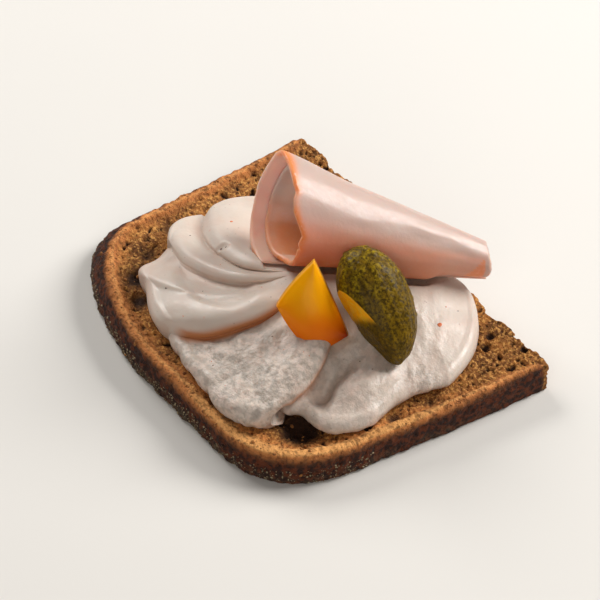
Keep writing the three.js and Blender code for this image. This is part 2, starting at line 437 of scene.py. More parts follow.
@dataclass(frozen=True)
class RyeFinish(Finish):
    """Rye bread: grainy crumb, browned crust and a floury lower edge, with painted shade in holes and
    pockets and painted light on the crust's crest, the front and, partly, the raised grain.
    """

    name: str = "rye_bread"
    crumb: Colour = tone(168, 108, 50)
    crumb_light: Colour = tone(218, 160, 88)
    crumb_dark: Colour = tone(108, 64, 26)
    pore: Colour = tone(50, 27, 12)
    crust: Colour = tone(98, 47, 22)
    crust_dark: Colour = tone(48, 23, 14)
    # The browned crust's crest colours, lighter partly as painted light on the crest and the lit
    # front.
    rust: Colour = tone(236, 153, 85)
    crest: Colour = tone(238, 172, 102)
    flour: Colour = tone(104, 92, 70)

    def dress(self, bench: Bench) -> None:
        """Lays the finish on.

        Args:
            bench: The bench of the finish's material.
        """
        grain = bench.mottle(0.55, 3.0, 0.6)
        # Painted shade in the crumb's holes, on the same spots that the relief sinks.
        hole = bench.rise(bench.spots(0.95, 0.9), 0.36, 0.1)
        hole = bench.times(hole, bench.rise(bench.mottle(1.6), 0.4, 0.56))
        crumb = bench.layered(
            self.crumb_dark,
            (bench.rise(bench.mottle(3.4), 0.35, 0.65), self.crumb),
            # Paler where the grain stands highest in the relief: partly the crumb's own grain, partly
            # a painted highlight.
            (bench.rise(grain, 0.47, 0.64, 0.9), self.crumb_light),
            (bench.times(hole, 0.55), self.pore),
        )
        bare_crust = bench.rise(bench.mottle(1.1), 0.42, 0.6)
        crust = bench.layered(self.crust_dark, (bare_crust, self.crust))
        # Browning on the crust's crest, with painted light on its lit front band.
        most_browned = bench.rise(bench.trait("crest"), 0.7, 0.97)
        browned = bench.layered(self.rust, (most_browned, self.crest))
        patchy = bench.plus(bench.rise(bench.mottle(0.9), 0.34, 0.54, 0.55), 0.45)
        bench.paint(
            crumb,
            (bench.trait("crust"), crust),
            (bench.times(bench.trait("crest"), patchy), browned),
            # Painted shade in the holes and sunken pockets of the crumb.
            (bench.rise(bench.trait("pit"), 0.02, 0.7), self.pore),
            (bench.times(bench.trait("flour"), bench.rise(grain, 0.38, 0.58)), self.flour),
        )
        bench.roughen(bench.rise(grain, 0.2, 0.8, 0.2), 0.72)
        bench.shine(0.3)
        bench.relief((bench.combine("SUBTRACT", grain, hole), 0.5), (bench.mottle(0.22, 2.0), 0.18))


@dataclass(frozen=True)
class CreamFinish(Finish):
    """Whipped savoury cream: pale, faintly pink, moist, with tiny dark and orange flecks."""

    name: str = "savoury_cream"
    pale: Colour = tone(212, 198, 186)
    blush: Colour = tone(210, 191, 178)
    grey: Colour = tone(158, 148, 137)
    # Painted shade under the petals' lips, warmer as light bounces and scatters in the cream.
    glow: Colour = tone(190, 122, 76)
    fleck: Colour = tone(128, 104, 90)
    spice: Colour = tone(214, 128, 84)

    def dress(self, bench: Bench) -> None:
        """Lays the finish on.

        Args:
            bench: The bench of the finish's material.
        """
        rough = bench.trait("rough")
        grain = bench.mottle(0.7, 3.0, 0.6)
        bench.paint(
            self.pale,
            (bench.rise(bench.mottle(7.0, 2.0), 0.38, 0.66), self.blush),
            (bench.times(rough, bench.rise(bench.mottle(1.3), 0.38, 0.66, 0.7)), self.grey),
            # Painted shade under the petals' lips.
            (bench.trait("under"), self.glow),
            (bench.rise(bench.spots(2.3), 0.075, 0.045, 0.4), self.fleck),
            (bench.rise(bench.spots(4.3), 0.09, 0.03, 0.3), self.spice),
        )
        bench.roughen(bench.rise(bench.mottle(2.5), 0.3, 0.7, 0.16), 0.36)
        bench.glow(0.35, (1.0, 0.62, 0.46), 1.1)
        bench.wet(0.15, 0.3)
        ripple = bench.times(grain, bench.plus(rough, 0.12))
        bench.relief((ripple, 0.3), (bench.mottle(2.2, 2.0), 0.1))


@dataclass(frozen=True)
class HamFinish(Finish):
    """Cooked ham: pink, paler on top as painted light, darker and warmer below as painted shade, with
    painted light in its hollow and a browned edge that also carries painted shade.
    """

    name: str = "rolled_ham"
    pink: Colour = tone(232, 165, 139)
    # Paler fat in the meat's grain, and painted light on the top, the back, around the tip and in the
    # hollow's upper part.
    pale: Colour = tone(198, 175, 165)
    # Painted shade on the lower side and deep in the hollow, warmer as light bounces up from the
    # cream.
    warm: Colour = tone(206, 124, 84)
    # The browned edge of the slice, also used for painted shade low in the hollow, low at the mouth's
    # near side and on the tip's triangle.
    rind: Colour = tone(222, 134, 62)
    # Painted light in the roll's hollow, which the lamps hardly reach.
    inside: Colour = tone(240, 206, 188)

    def dress(self, bench: Bench) -> None:
        """Lays the finish on.

        Args:
            bench: The bench of the finish's material.
        """
        fibre = bench.mottle(0.9)
        bench.paint(
            self.pink,
            (bench.trait("pale"), self.pale),
            (bench.trait("warm"), self.warm),
            (bench.times(bench.trait("rind"), bench.rise(fibre, 0.2, 0.45)), self.rind),
            (bench.rise(fibre, 0.54, 0.75, 0.12), self.pale),
            (bench.trait("inside"), self.inside),
        )
        bench.roughen(bench.rise(fibre, 0.3, 0.7, 0.14), 0.34)
        bench.glow(0.7, (1.0, 0.5, 0.34), 2.0)
        bench.wet(0.2, 0.24)
        bench.relief((fibre, 0.04), (bench.mottle(2.6, 2.0), 0.06))


@dataclass(frozen=True)
class PepperFinish(Finish):
    """Yellow pepper: glossy skin that turns orange and red below, over wet flesh."""

    name: str = "yellow_pepper"
    skin: Colour = tone(255, 172, 4)
    ripe: Colour = tone(240, 116, 2)
    red: Colour = tone(132, 18, 2)
    flesh: Colour = tone(240, 168, 52)

    def dress(self, bench: Bench) -> None:
        """Lays the finish on.

        Args:
            bench: The bench of the finish's material.
        """
        clouds = bench.mottle(5.0, 2.0)
        ripe = bench.plus(bench.trait("ripe"), bench.rise(clouds, 0.3, 0.7, 0.16))
        bench.paint(
            self.skin,
            (bench.rise(ripe, 0.05, 1.1), self.ripe),
            (bench.trait("red"), self.red),
            (bench.trait("flesh"), self.flesh),
        )
        bench.roughen(bench.times(bench.trait("flesh"), 0.2), 0.36)
        bench.shine(0.1)
        bench.glow(0.15, (1.0, 0.45, 0.05), 1.2)
        bench.wet(0.05, 0.2)
        bench.relief((bench.mottle(0.8), 0.04), (clouds, 0.15))


@dataclass(frozen=True)
class GherkinFinish(Finish):
    """Pickled gherkin: dark olive warty skin with lighter streaks, laid mostly on its lit side as
    painted light, and yellow-olive wet flesh.
    """

    name: str = "pickled_gherkin"
    skin: Colour = tone(120, 92, 4)
    dark: Colour = tone(64, 48, 2)
    streak: Colour = tone(158, 134, 18)
    flesh: Colour = tone(252, 176, 14)
    seed: Colour = tone(244, 196, 60)

    def dress(self, bench: Bench) -> None:
        """Lays the finish on.

        Args:
            bench: The bench of the finish's material.
        """
        speckle = bench.mottle(0.55, 4.0, 0.6)
        skin = bench.layered(
            self.dark,
            (bench.rise(speckle, 0.34, 0.66), self.skin),
            (bench.rise(bench.mottle(3.0), 0.4, 0.7, 0.5), self.dark),
            (bench.times(bench.trait("streak"), bench.rise(speckle, 0.36, 0.74)), self.streak),
            (bench.rise(bench.trait("wart"), 0.4, 1.0, 0.4), self.streak),
        )
        seeds = bench.rise(bench.mottle(1.4), 0.4, 0.65, 0.6)
        bench.paint(skin, (bench.trait("flesh"), bench.layered(self.flesh, (seeds, self.seed))))
        bench.roughen(bench.rise(speckle, 0.3, 0.7, 0.2), 0.34)
        bench.shine(0.1)
        bench.glow(0.25, (0.8, 0.6, 0.08), 1.2)
        bench.wet(0.06, 0.2)
        bench.relief((speckle, 0.14), (bench.mottle(1.6, 2.0), 0.2))


@dataclass(frozen=True)
class GrainFinish(Finish):
    """Loose bits, such as crumbs, flour or spice, of two close colours."""

    name: str
    first: Colour
    second: Colour
    roughness: float = 0.8

    def dress(self, bench: Bench) -> None:
        """Lays the finish on.

        Args:
            bench: The bench of the finish's material.
        """
        clouds = bench.mottle(0.5)
        bench.paint(self.first, (bench.rise(clouds, 0.35, 0.65), self.second))
        bench.roughen(bench.rise(clouds, 0.3, 0.7, 0.12), self.roughness)
        bench.relief((bench.mottle(0.2), 0.1))


@dataclass(frozen=True)
class FloorFinish(Finish):
    """A plain pale matt floor."""

    name: str = "pale_floor"
    pale: Colour = tone(222, 220, 216)
    cloud: Colour = tone(214, 212, 208)
    cloud_size: float = 60.0
    roughness: float = 0.85

    def dress(self, bench: Bench) -> None:
        """Lays the finish on.

        Args:
            bench: The bench of the finish's material.
        """
        clouds = bench.rise(bench.mottle(self.cloud_size), 0.3, 0.7, 0.06)
        bench.paint(self.pale, (clouds, self.cloud))
        bench.shader.inputs["Roughness"].default_value = self.roughness


# ---------------------------------------------------------------------------------------------
# Meshes
# ---------------------------------------------------------------------------------------------


def woven(
    columns: int, rows: int, traits: Sequence[str], corner: Callable[[int, int], Corner]
) -> BMesh:
    """Lays a grid over a closed shape, and closes its seams and poles.

    Args:
        columns: The grid's cells round the shape.
        rows: Its cells along the shape's section.
        traits: The names of the numbers that each corner carries.
        corner: Gives the place and the numbers of the corner at a column and a row.

    Returns:
        The mesh, its faces outwards.
    """
    mesh = bmesh.new()
    bmesh.ops.create_grid(mesh, x_segments=columns, y_segments=rows, size=0.5)
    layers = [mesh.verts.layers.float.new(trait) for trait in traits]
    for vertex in mesh.verts:
        column = round((vertex.co.x + 0.5) * columns)
        row = round((vertex.co.y + 0.5) * rows)
        vertex.co, numbers = corner(column, row)
        for layer, number in zip(layers, numbers):
            vertex[layer] = number
    bmesh.ops.remove_doubles(mesh, verts=mesh.verts, dist=MERGE)
    bmesh.ops.recalc_face_normals(mesh, faces=mesh.faces)
    return mesh


def finish_piece(mesh: BMesh, name: str, finish: Finish) -> Object:
    """Turns a mesh in millimetres into a piece of the sandwich.

    Args:
        mesh: The mesh, which is freed.
        name: The piece's name.
        finish: What it is made to look like.

    Returns:
        The piece, riding on the one body.
    """
    log.info("%s: %d faces", name, len(mesh.faces))
    bmesh.ops.translate(mesh, verts=mesh.verts, vec=SLICE_MIDDLE)
    bmesh.ops.scale(mesh, verts=mesh.verts, vec=(MM, MM, MM))
    for face in mesh.faces:
        face.smooth = True
    data = bpy.data.meshes.new(name)
    mesh.to_mesh(data)
    mesh.free()
    data.materials.append(finish.material())
    piece = bpy.data.objects.new(name, data)
    bpy.context.scene.collection.objects.link(piece)
    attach(piece, "root")
    return piece


@dataclass(frozen=True)
class Bulge:
    """A place where the crust swells out under its rim."""

    at: Vector
    swell: float


@dataclass(frozen=True)
class Pocket:
    """A place where the crumb is sunken."""

    at: Vector
    width: float
    depth: float


@dataclass(frozen=True)
class Ring:
    """One ring of the slice's skin: how far in, how far on to the middle, its height and facing."""

    inward: float
    onward: float
    height: float
    facing: float


@dataclass
class BreadSlice:
    """Half a slice of dark rye bread, with crust on three sides and bare crumb at the cut."""

    thickness: float = 6.4
    left: float = -35.4
    front: float = -28.4
    right: float = 31.7
    right_at_cut: float = 35.6
    cut: float = 27.4
    left_inset_at_cut: float = 1.0
    left_bends_at: float = -11.0
    front_from: float = -8.0
    front_to: float = 13.0
    right_bends_at: float = -8.0
    left_handles: tuple[Vector, Vector] = (Vector((-35.4, -19.0, 0.0)), Vector((-24.0, -27.0, 0.0)))
    right_handles: tuple[Vector, Vector] = (Vector((24.0, -28.4, 0.0)), Vector((30.7, -22.0, 0.0)))
    flare: Vector = Vector((34.4, 8.0, 0.0))
    corner_points: int = 60
    flare_points: int = 30
    crust_thins_over: float = 1.4
    crust_steps: int = 610
    cut_steps: int = 255
    wall_rows: int = 20
    brink_rows: int = 4
    top_rows: int = 72
    top_step: float = 0.25
    under_inset: float = 0.8
    foot_round: float = 0.5
    foot_round_height: float = 0.7
    rim_lift: float = 0.45
    rim_crest: float = 1.3
    rim_foot: float = 2.7
    brink: float = 0.6
    sag: float = 0.4
    bulge_spread: float = 15.0
    bulges: tuple[Bulge, ...] = (
        Bulge(Vector((-35.0, -14.0, 0.0)), 2.9),
        Bulge(Vector((27.0, -24.0, 0.0)), 0.6),
    )
    bulge_heights: tuple[tuple[float, float], ...] = (
        (0.0, 0.6), (0.5, 0.9), (1.6, 1.0), (3.4, 0.8), (5.2, 0.35), (6.1, 0.0),
    )
    pockets: tuple[Pocket, ...] = (
        Pocket(Vector((-27.5, -12.5, 0.0)), 2.2, 0.8),
        Pocket(Vector((-24.2, -17.6, 0.0)), 2.4, 1.3),
        Pocket(Vector((-19.4, -20.4, 0.0)), 2.0, 1.2),
        Pocket(Vector((-30.5, -5.5, 0.0)), 2.0, 0.8),
        Pocket(Vector((21.6, -16.6, 0.0)), 3.4, 2.0),
        Pocket(Vector((8.5, -25.8, 0.0)), 2.2, 1.0),
        Pocket(Vector((29.5, -2.0, 0.0)), 1.5, 1.1),
        Pocket(Vector((30.0, 5.5, 0.0)), 1.1, 0.8),
    )
    coarse: tuple[float, float] = (0.4, 1.05)
    medium: tuple[float, float] = (0.26, 0.6)
    fine: tuple[float, float] = (0.2, 0.4)
    finish: RyeFinish = RyeFinish()

    def rims(self) -> list[tuple[Vector, float]]:
        """Walks once round the slice's outline.

        Returns:
            Pairs of a point and its share of crust, from the cut's left end and back to it.
        """
        start = Vector((self.left + self.left_inset_at_cut, self.cut, 0.0))
        bend = Vector((self.left, self.left_bends_at, 0.0))
        foot = Vector((self.front_from, self.front, 0.0))
        heel = Vector((self.front_to, self.front, 0.0))
        flank = Vector((self.right, self.right_bends_at, 0.0))
        end = Vector((self.right_at_cut, self.cut, 0.0))
        flares = (flank.lerp(self.flare, 2.0 / 3.0), end.lerp(self.flare, 2.0 / 3.0))
        line = [start]
        line += interpolate_bezier(bend, *self.left_handles, foot, self.corner_points)
        line += interpolate_bezier(heel, *self.right_handles, flank, self.corner_points)
        line += interpolate_bezier(flank, *flares, end, self.flare_points)[1:]
        crust = evenly(line, self.crust_steps)
        step = (crust[1] - crust[0]).length
        rims = []
        for index, point in enumerate(crust):
            from_cut = min(index, self.crust_steps - index) * step
            rims.append((point, ease(from_cut, 0.0, self.crust_thins_over)))
        for index in range(1, self.cut_steps):
            share = index / self.cut_steps
            point = end.lerp(start, share)
            point.y += 0.35 * math.sin(49.4 * share) + 0.25 * math.sin(20.8 * share)
            rims.append((point, 0.0))
        return rims

    def rings(self) -> list[Ring]:
        """Lists the rings of the slice's skin.

        Returns:
            The rings, from the middle of the underside over the wall to the middle of the top.
        """
        down, level, upward = -math.pi / 2, 0.0, math.pi / 2
        rings = [Ring(0.0, onward, 0.0, down) for onward in (1.0, 0.5, 0.12)]
        rings.append(Ring(self.under_inset, 0.0, 0.0, down))
        wall = self.thickness - self.brink
        for row in range(self.wall_rows + 1):
            height = wall * row / self.wall_rows
            inward = self.foot_round * max(1.0 - height / self.foot_round_height, 0.0) ** 2
            rings.append(Ring(inward, 0.0, height, level))
        for row in range(1, self.brink_rows + 1):
            turn = upward * row / self.brink_rows
            inward = self.brink * (1.0 - math.cos(turn))
            height = wall + self.brink * math.sin(turn)
            rings.append(Ring(inward, 0.0, height, turn))
        for row in range(1, self.top_rows + 1):
            inward = self.brink + self.top_step * row
            rings.append(Ring(inward, 0.0, self.thickness, upward))
        innermost = rings[-1].inward
        for onward in (0.12, 0.26, 0.42, 0.6, 0.8, 1.0):
            rings.append(Ring(innermost, onward, self.thickness, upward))
        return rings

    def ringed(self, place: Vector, inward: float) -> float:
        """The distance from the rim where the crust is uneven, and wider in front than at the left."""
        wide = between(0.95, 1.35, ease(-place.y, 12.0, 25.0))
        return inward / wide + 0.42 * waver(place, 2.1, 19.0) + 0.3 * waver(place, 0.9, 20.0)

    def swell(self, rim: Vector, height: float) -> float:
        """How far the crust wall swells out at a height below a point of its rim."""
        wide = sum(b.swell * hump((rim - b.at).length, self.bulge_spread) for b in self.bulges)
        return wide * read_off(height, self.bulge_heights)

    def lift(self, place: Vector, inward: float, crusted: float) -> float:
        """How far the top stands off the slice's thickness.

        Args:
            place: The place on the top.
            inward: Its distance from the rim.
            crusted: Its share of crust.

        Returns:
            The height over the slice's thickness, in millimetres.
        """
        ringed = self.ringed(place, inward)
        rim = 1.0 - ease(ringed, self.rim_crest, self.rim_foot)
        rim *= 1.0 - 0.5 * (1.0 - ease(ringed, 0.1, self.rim_crest))
        bare = ease(inward, self.rim_crest, self.rim_foot) * (1.0 - ease(inward, 7.0, 12.0))
        sunken = sum(p.depth * hump((place.xy - p.at.xy).length, p.width) for p in self.pockets)
        bare_cut = ease(inward, 0.3, 2.0) * (1.0 - crusted)
        return (
            self.rim_lift * rim * crusted * (1.0 + 0.7 * waver(place, 2.4, 3.0))
            - self.sag * (bare * crusted + 0.5 * bare_cut)
            - sunken * ease(inward, 1.9, 3.0)
            + 0.3 * waver(place, 4.5, 5.0) * ease(inward, 1.5, 3.0)
        )

    def crag(self, place: Vector, crumb: float, floury: float) -> tuple[float, float]:
        """How rough the surface is at a place.

        Args:
            place: The place on the smooth shape.
            crumb: Its share of bare crumb.
            floury: How far it lies in the crumbly lower edge.

        Returns:
            How far it stands out, in millimetres, and its depth in a hollow of the crumb, from 0 to 1,
            which the finish paints as shade.
        """
        bent = place + Vector((waver(place, 1.3, 7.0), waver(place, 1.3, 8.0), 0.0)) * 0.75
        coarse = hollow(bent, 2.5, 0.5, self.coarse)
        medium = hollow(bent + Vector((40.0, 9.0, 3.0)), 1.35, 0.62, self.medium)
        fine = hollow(bent + Vector((9.0, 40.0, 5.0)), 0.85, 0.62, self.fine)
        pit = max(coarse, 0.75 * medium, 0.5 * fine) * between(0.15, 1.0, crumb)
        grain = 0.3 * waver(place, 0.62, 1.0) + 0.28 * waver(place, 1.4, 2.0)
        lump = 0.22 * waver(place, 0.8, 11.0) + 0.26 * waver(place, 1.9, 12.0)
        tuft = floury * (0.42 * abs(waver(place, 0.7, 13.0)) + 0.25 * waver(place, 1.3, 14.0))
        stand = between(lump, grain, crumb) + tuft
        sunk = crumb * (1.1 * coarse + 0.6 * medium + 0.3 * fine)
        return stand - sunk - 0.22 * medium * (1.0 - crumb), pit

    def mesh(self) -> BMesh:
        """Builds the slice.

        Returns:
            The mesh, in millimetres.
        """
        rims, rings = self.rims(), self.rings()

        def corner(column: int, row: int) -> Corner:
            """Works out one corner of the slice's skin.

            Args:
                column: The column round the slice.
                row: The ring that the corner lies on.

            Returns:
                Its place, and its shares of painted shade in holes and pockets, crust, flour, and
                browned crest that also carries painted light at the front.
            """
            rim, crusted = rims[column % len(rims)]
            ring = rings[row]
            reach = rim.length
            spread = (1.0 - ring.inward / reach) * (1.0 - ring.onward)
            spread += crusted * self.swell(rim, ring.height) / reach * (1.0 - ring.onward)
            place = rim * spread
            place.z = ring.height
            if ring.onward > 0.0:
                return place, (0.0, 0.0, 0.0, 0.0)
            outward = rim.normalized()
            on_top = ease(ring.facing, 0.2, 1.4)
            ringed = self.ringed(place, ring.inward)
            crumb = 1.0 - crusted * (1.0 - on_top * ease(ringed, 1.7, 2.8))
            low = 1.0 - ease(ring.height, 1.0, 3.2)
            leftward = between(0.3, 0.8, ease(-rim.x - rim.y * 0.4, -12.0, 8.0))
            floury = low * crusted * leftward * ease(waver(place, 3.0, 17.0), -0.5, 0.15)
            stand, pit = self.crag(place, crumb, floury)
            if ring.facing < 0.0:
                stand = 0.0
            lifted = self.lift(place, ring.inward, crusted) * on_top
            facing = ring.facing
            place += outward * (stand * math.cos(facing)) + UP * (stand * math.sin(facing) + lifted)
            place.z = max(place.z, 0.0)
            # Painted light: a band along the crust's crest, widened over the front of the slice and
            # spilling on to the wall's top there; partly the crust's own browning.
            front = ease(rim.x * 0.76 - rim.y * 0.65, 10.0, 26.0)
            band = max(hump(ringed - self.rim_crest, 1.2), front * ease(ringed, 5.0, 1.5))
            spill = 0.6 * front * hump(self.thickness - ring.height, 1.1)
            crest = between(0.85, 1.0, front) * crusted * between(spill, band, on_top)
            # Painted shade in the sunken pockets, added to the holes' painted shade.
            shade = sum(p.depth * hump((place.xy - p.at.xy).length, p.width) for p in self.pockets)
            pit = max(pit, min(0.6 * shade * crumb * on_top, 0.85))
            return place, (pit, 1.0 - crumb, floury, crest)

        return woven(len(rims), len(rings) - 1, ("pit", "crust", "flour", "crest"), corner)

    def build(self) -> BVHTree:
        """Builds and dresses the slice.

        Returns:
            The slice's surface in millimetres, for what lies on it.
        """
        mesh = self.mesh()
        surface = BVHTree.FromBMesh(mesh)
        piece = finish_piece(mesh, "bread_slice", self.finish)
        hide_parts("bread")
        return surface


@dataclass(frozen=True)
class Heel:
    """A place round the ham's mouth where its edge lies further back, or further out."""

    at: float
    back: float
    spread: float


@dataclass
class HamRoll:
    """One thin slice of ham rolled one and a half times round into a cone."""

    mouth: Vector = Vector((-8.7, -3.3, 26.3))
    tip: Vector = Vector((16.1, 27.9, 16.1))
    mouth_radius: float = 10.6
    tip_radius: float = 3.5
    sheet: float = 1.0
    pitch: float = 1.25
    turns: float = 1.5
    seam: float = math.radians(-70)
    peak: float = math.radians(124)
    peak_rise: tuple[float, float] = (0.18, 0.12)
    peak_fades: float = 0.35
    peak_spread: float = math.radians(75)
    slant: float = 5.8
    heels: tuple[Heel, ...] = (
        Heel(math.radians(170), 0.85, math.radians(38)),
        Heel(math.radians(265), -1.05, math.radians(32)),
    )
    nicks_from: float = -70.0
    nicks: tuple[tuple[float, float], ...] = (
        (-70.0, 0.7), (-15.0, 0.9), (12.0, 0.2), (25.0, 0.9), (52.0, -0.2), (66.0, -0.1),
        (75.0, 0.6), (105.0, 0.4), (130.0, 0.0),
    )
    browning: tuple[tuple[float, float], ...] = (
        (0.0, 0.6), (18.0, 0.75), (24.0, 1.0), (52.0, 1.0), (60.0, 0.35), (70.0, 0.35),
        (78.0, 1.0), (140.0, 1.0), (160.0, 0.3), (270.0, 0.3), (340.0, 0.6),
    )
    waver_radius: float = 10.0
    recess: float = 2.4
    tip_slant: float = 1.7
    tip_slant_at: float = math.radians(-40)
    belly: float = 1.6
    belly_at: float = math.radians(-55)
    belly_spread: float = math.radians(40)
    belly_rises: tuple[float, float] = (23.0, 28.0)
    belly_falls: tuple[float, float] = (31.5, 34.5)
    tip_belly: float = 0.45
    # The triangle of painted shade at the tip's near side: its start and span round the roll in
    # degrees, and its near and far distances from the tip's end.
    fold_from: float = -72.0
    fold_turn: float = 115.0
    fold_tipward: tuple[float, float] = (0.9, 1.3)
    fold_mouthward: tuple[float, float] = (6.2, 1.6)
    hem: tuple[float, float, float, float] = (0.7, 0.1, 0.05, 0.0)
    edge_radius: float = 0.5
    around: int = 360
    along: int = 88
    finish: HamFinish = HamFinish()

    def __post_init__(self) -> None:
        """Works out the cone's own directions."""
        self.axis = (self.tip - self.mouth).normalized()
        self.length = (self.tip - self.mouth).length
        self.upward = (UP - self.axis * UP.dot(self.axis)).normalized()
        self.side = self.axis.cross(self.upward)

    def radius(self, angle: float, travel: float) -> float:
        """The cone's outer radius.

        Args:
            angle: The angle round the roll.
            travel: The distance along it from the mouth's end.

        Returns:
            The radius in millimetres.
        """
        along = travel / self.length
        fold = max(1.0 - angle_between(angle, self.peak) / self.peak_spread, 0.0) ** 2
        rise = between(*self.peak_rise, ease(along, 0.0, self.peak_fades)) * fold
        sag = self.belly * hump(angle_between(angle, self.belly_at), self.belly_spread)
        sag *= ease(travel, *self.belly_rises)
        sag *= between(1.0, self.tip_belly, ease(travel, *self.belly_falls))
        return between(self.mouth_radius, self.tip_radius, along) * (1.0 + rise) + sag

    def opening(self, angle: float) -> float:
        """How far along the cone its slanted mouth lies at an angle."""
        heels = sum(h.back * hump(angle_between(angle, h.at), h.spread) for h in self.heels)
        return self.slant / 2.0 * (1.0 + math.cos(angle)) + heels

    def covers(self, place: Vector, gap: float) -> bool:
        """Whether a place lies in the roll or in the air that it holds.

        Args:
            place: The place in millimetres.
            gap: How far round the roll counts as well.

        Returns:
            True where the roll is in the way.
        """
        offset = place - self.mouth
        travel = offset.dot(self.axis)
        across = offset - self.axis * travel
        angle = math.atan2(across.dot(self.upward), across.dot(self.side))
        if not self.opening(angle) - gap < travel < self.length + self.tip_slant + gap:
            return False
        return across.length < self.radius(angle, travel) + gap

    def rows(self) -> list[float]:
        """Works out the rows along the sheet, closer together at both ends.

        Returns:
            Each row's share of the way from the mouth to the tip.
        """
        near = [0.0, 0.002, 0.006, 0.012, 0.02, 0.03]
        middle = self.along - 2 * len(near)
        inner = [between(0.04, 0.96, step / (middle - 1)) for step in range(middle)]
        return near + inner + [1.0 - share for share in reversed(near)]

    def mesh(self) -> BMesh:
        """Builds the rolled sheet, with its thickness and its rounded edges.

        Returns:
            The mesh, in millimetres.
        """
        shares = self.rows()
        loop = [(share, 1.0) for share in shares] + [(s, -1.0) for s in reversed(shares[:-1])]

        def corner(column: int, row: int) -> Corner:
            """Works out one corner of the sheet's skin.

            Args:
                column: The column round the roll, from its seam.
                row: The row of the sheet's section.

            Returns:
                Its place, and its shares of the four colours that paint names.
            """
            share, face = loop[row]
            turned = self.turns * column / self.around
            angle = self.seam - 2.0 * math.pi * turned
            inner = ease(turned, 0.6, 1.0)
            ring = Vector((math.cos(angle), math.sin(angle), 0.0))
            wide = ring * self.waver_radius
            frill = 0.2 * waver(wide, 6.5, 2.0 + inner) + 0.12 * waver(wide, 2.2, 4.0)
            bearing = (math.degrees(angle) - self.nicks_from) % 360.0 + self.nicks_from
            nick = read_off(bearing, self.nicks) if inner < 0.5 else 0.0
            start = self.opening(angle) + self.recess * inner + frill + nick
            end = self.length + self.tip_slant / 2.0 * (1.0 + math.cos(angle - self.tip_slant_at))
            end += 0.2 * waver(wide, 4.0, 9.0) - 0.1
            travel = between(start, end, share)
            radius = self.radius(angle, travel)
            from_seam = turned * 2.0 * math.pi * radius
            from_inner = (self.turns - turned) * 2.0 * math.pi * radius
            to_edge = min(travel - start, end - travel, from_seam, from_inner)
            rounding = 1.0 - min(to_edge / self.edge_radius, 1.0)
            half = self.sheet / 2.0 * math.sqrt(max(1.0 - rounding**2, 0.0))
            half *= between(0.55, 1.0, ease(min(from_seam, from_inner), 0.0, 3.0))
            swirl = Vector((ring.x * 1.3, ring.y * 1.3, travel / 13.0))
            dent = 0.14 * noise.noise(swirl) + 0.12 * noise.noise(swirl * 2.3)
            curl = 0.2 * waver(wide, 5.0, 21.0) * hump(travel - start, 2.2)
            depth = self.pitch * turned + self.sheet / 2.0 - face * half
            radius += dent + curl - depth
            place = self.mouth + self.axis * travel
            place += self.side * (radius * math.cos(angle)) + self.upward * (radius * math.sin(angle))
            within = turned > 1.0
            traits = self.paint(angle, travel - start, end - travel, half * face, within)
            hem = hump(from_seam, 1.1)
            return place, tuple(between(t, at_hem, hem) for t, at_hem in zip(traits, self.hem))

        return woven(self.around, len(loop) - 1, ("pale", "warm", "rind", "inside"), corner)

    def paint(
        self, angle: float, from_mouth: float, from_tip: float, face: float, within: bool
    ) -> tuple[float, float, float, float]:
        """Says how much painted light, painted shade and browning the ham has at a place, and how much
        painted light its hollow gets.

        Args:
            angle: The angle round the roll.
            from_mouth: The distance from the edge at the mouth.
            from_tip: The distance from the edge at the tip.
            face: How far out of the sheet's middle the place lies, in millimetres.
            within: Whether it lies in the roll's inner layer.

        Returns:
            Its shares of painted light, painted shade, browning with painted shade, and the hollow's
            painted light.
        """
        # Painted light and shade by facing: paler where the top meets the lamps, darker below.
        top = math.sin(angle)
        near_peak = hump(angle_between(angle, self.peak), math.radians(22))
        low = ease(-top, 0.1, 0.9)
        # The inner layer: a pale band at its cut edge, partly its own paler cut face and partly a
        # painted highlight; painted light above, painted shade below and painted light in the hollow.
        if within:
            band = hump(from_mouth - 0.7, 1.3)
            pale = max(0.9 * band * (1.0 - 0.6 * low), 0.9 * (1.0 - low))
            return pale, max(0.6 * low - band, 0.0), 0.45 * low, 0.7 * (1.0 - low) * (1.0 - band)
        # The outer layer's inner face: a browned edge at the mouth, painted light above, painted shade
        # below, and painted light in the hollow.
        if face <= 0.05:
            edge = hump(from_mouth, 0.35 + 0.8 * near_peak)
            near = ease(math.cos(angle), -0.3, 0.3)
            edge *= between(0.25, 0.95, max(near, near_peak))
            return between(0.9, 0.4, low), between(0.0, 0.4, low), edge, 0.6 * (1.0 - edge)
        browned = read_off(math.degrees(angle) % 360.0, self.browning)
        line = browned * hump(from_mouth - 0.35, 0.7 + 0.5 * near_peak)
        # A painted highlight along the tip's cut end, partly its paler cut face.
        tip_end = ease(from_tip, 1.5, 1.0)
        # The triangle of painted shade: browned, with no painted light or painted low shade.
        corner = ease(self.tip_fold(angle, from_tip), 0.0, 0.15)
        # Painted light on the back and top of the roll, which face the lamps.
        behind = ease(-math.cos(angle), 0.1, 0.8)
        over = top + 0.5 * ease(-math.cos(angle), 0.0, 0.4)
        pale = max(0.97 * ease(over, 0.4, 0.95), 0.35 * behind)
        # Painted shade on the lower side, warmer from light bounced up by the cream.
        warm = ease(-top, -0.75, 0.3) * between(0.85, 0.35, ease(from_tip, 16.0, 6.0))
        warm *= between(1.0, 0.3, behind) * (1.0 - corner)
        # Painted shade low on the near side by the mouth, in the browned colour.
        shaded = ease(-top, -0.1, 0.5) * ease(from_mouth, 20.0, 8.0) * (1.0 - behind)
        pale = max(pale * (1.0 - line) * (1.0 - corner), tip_end)
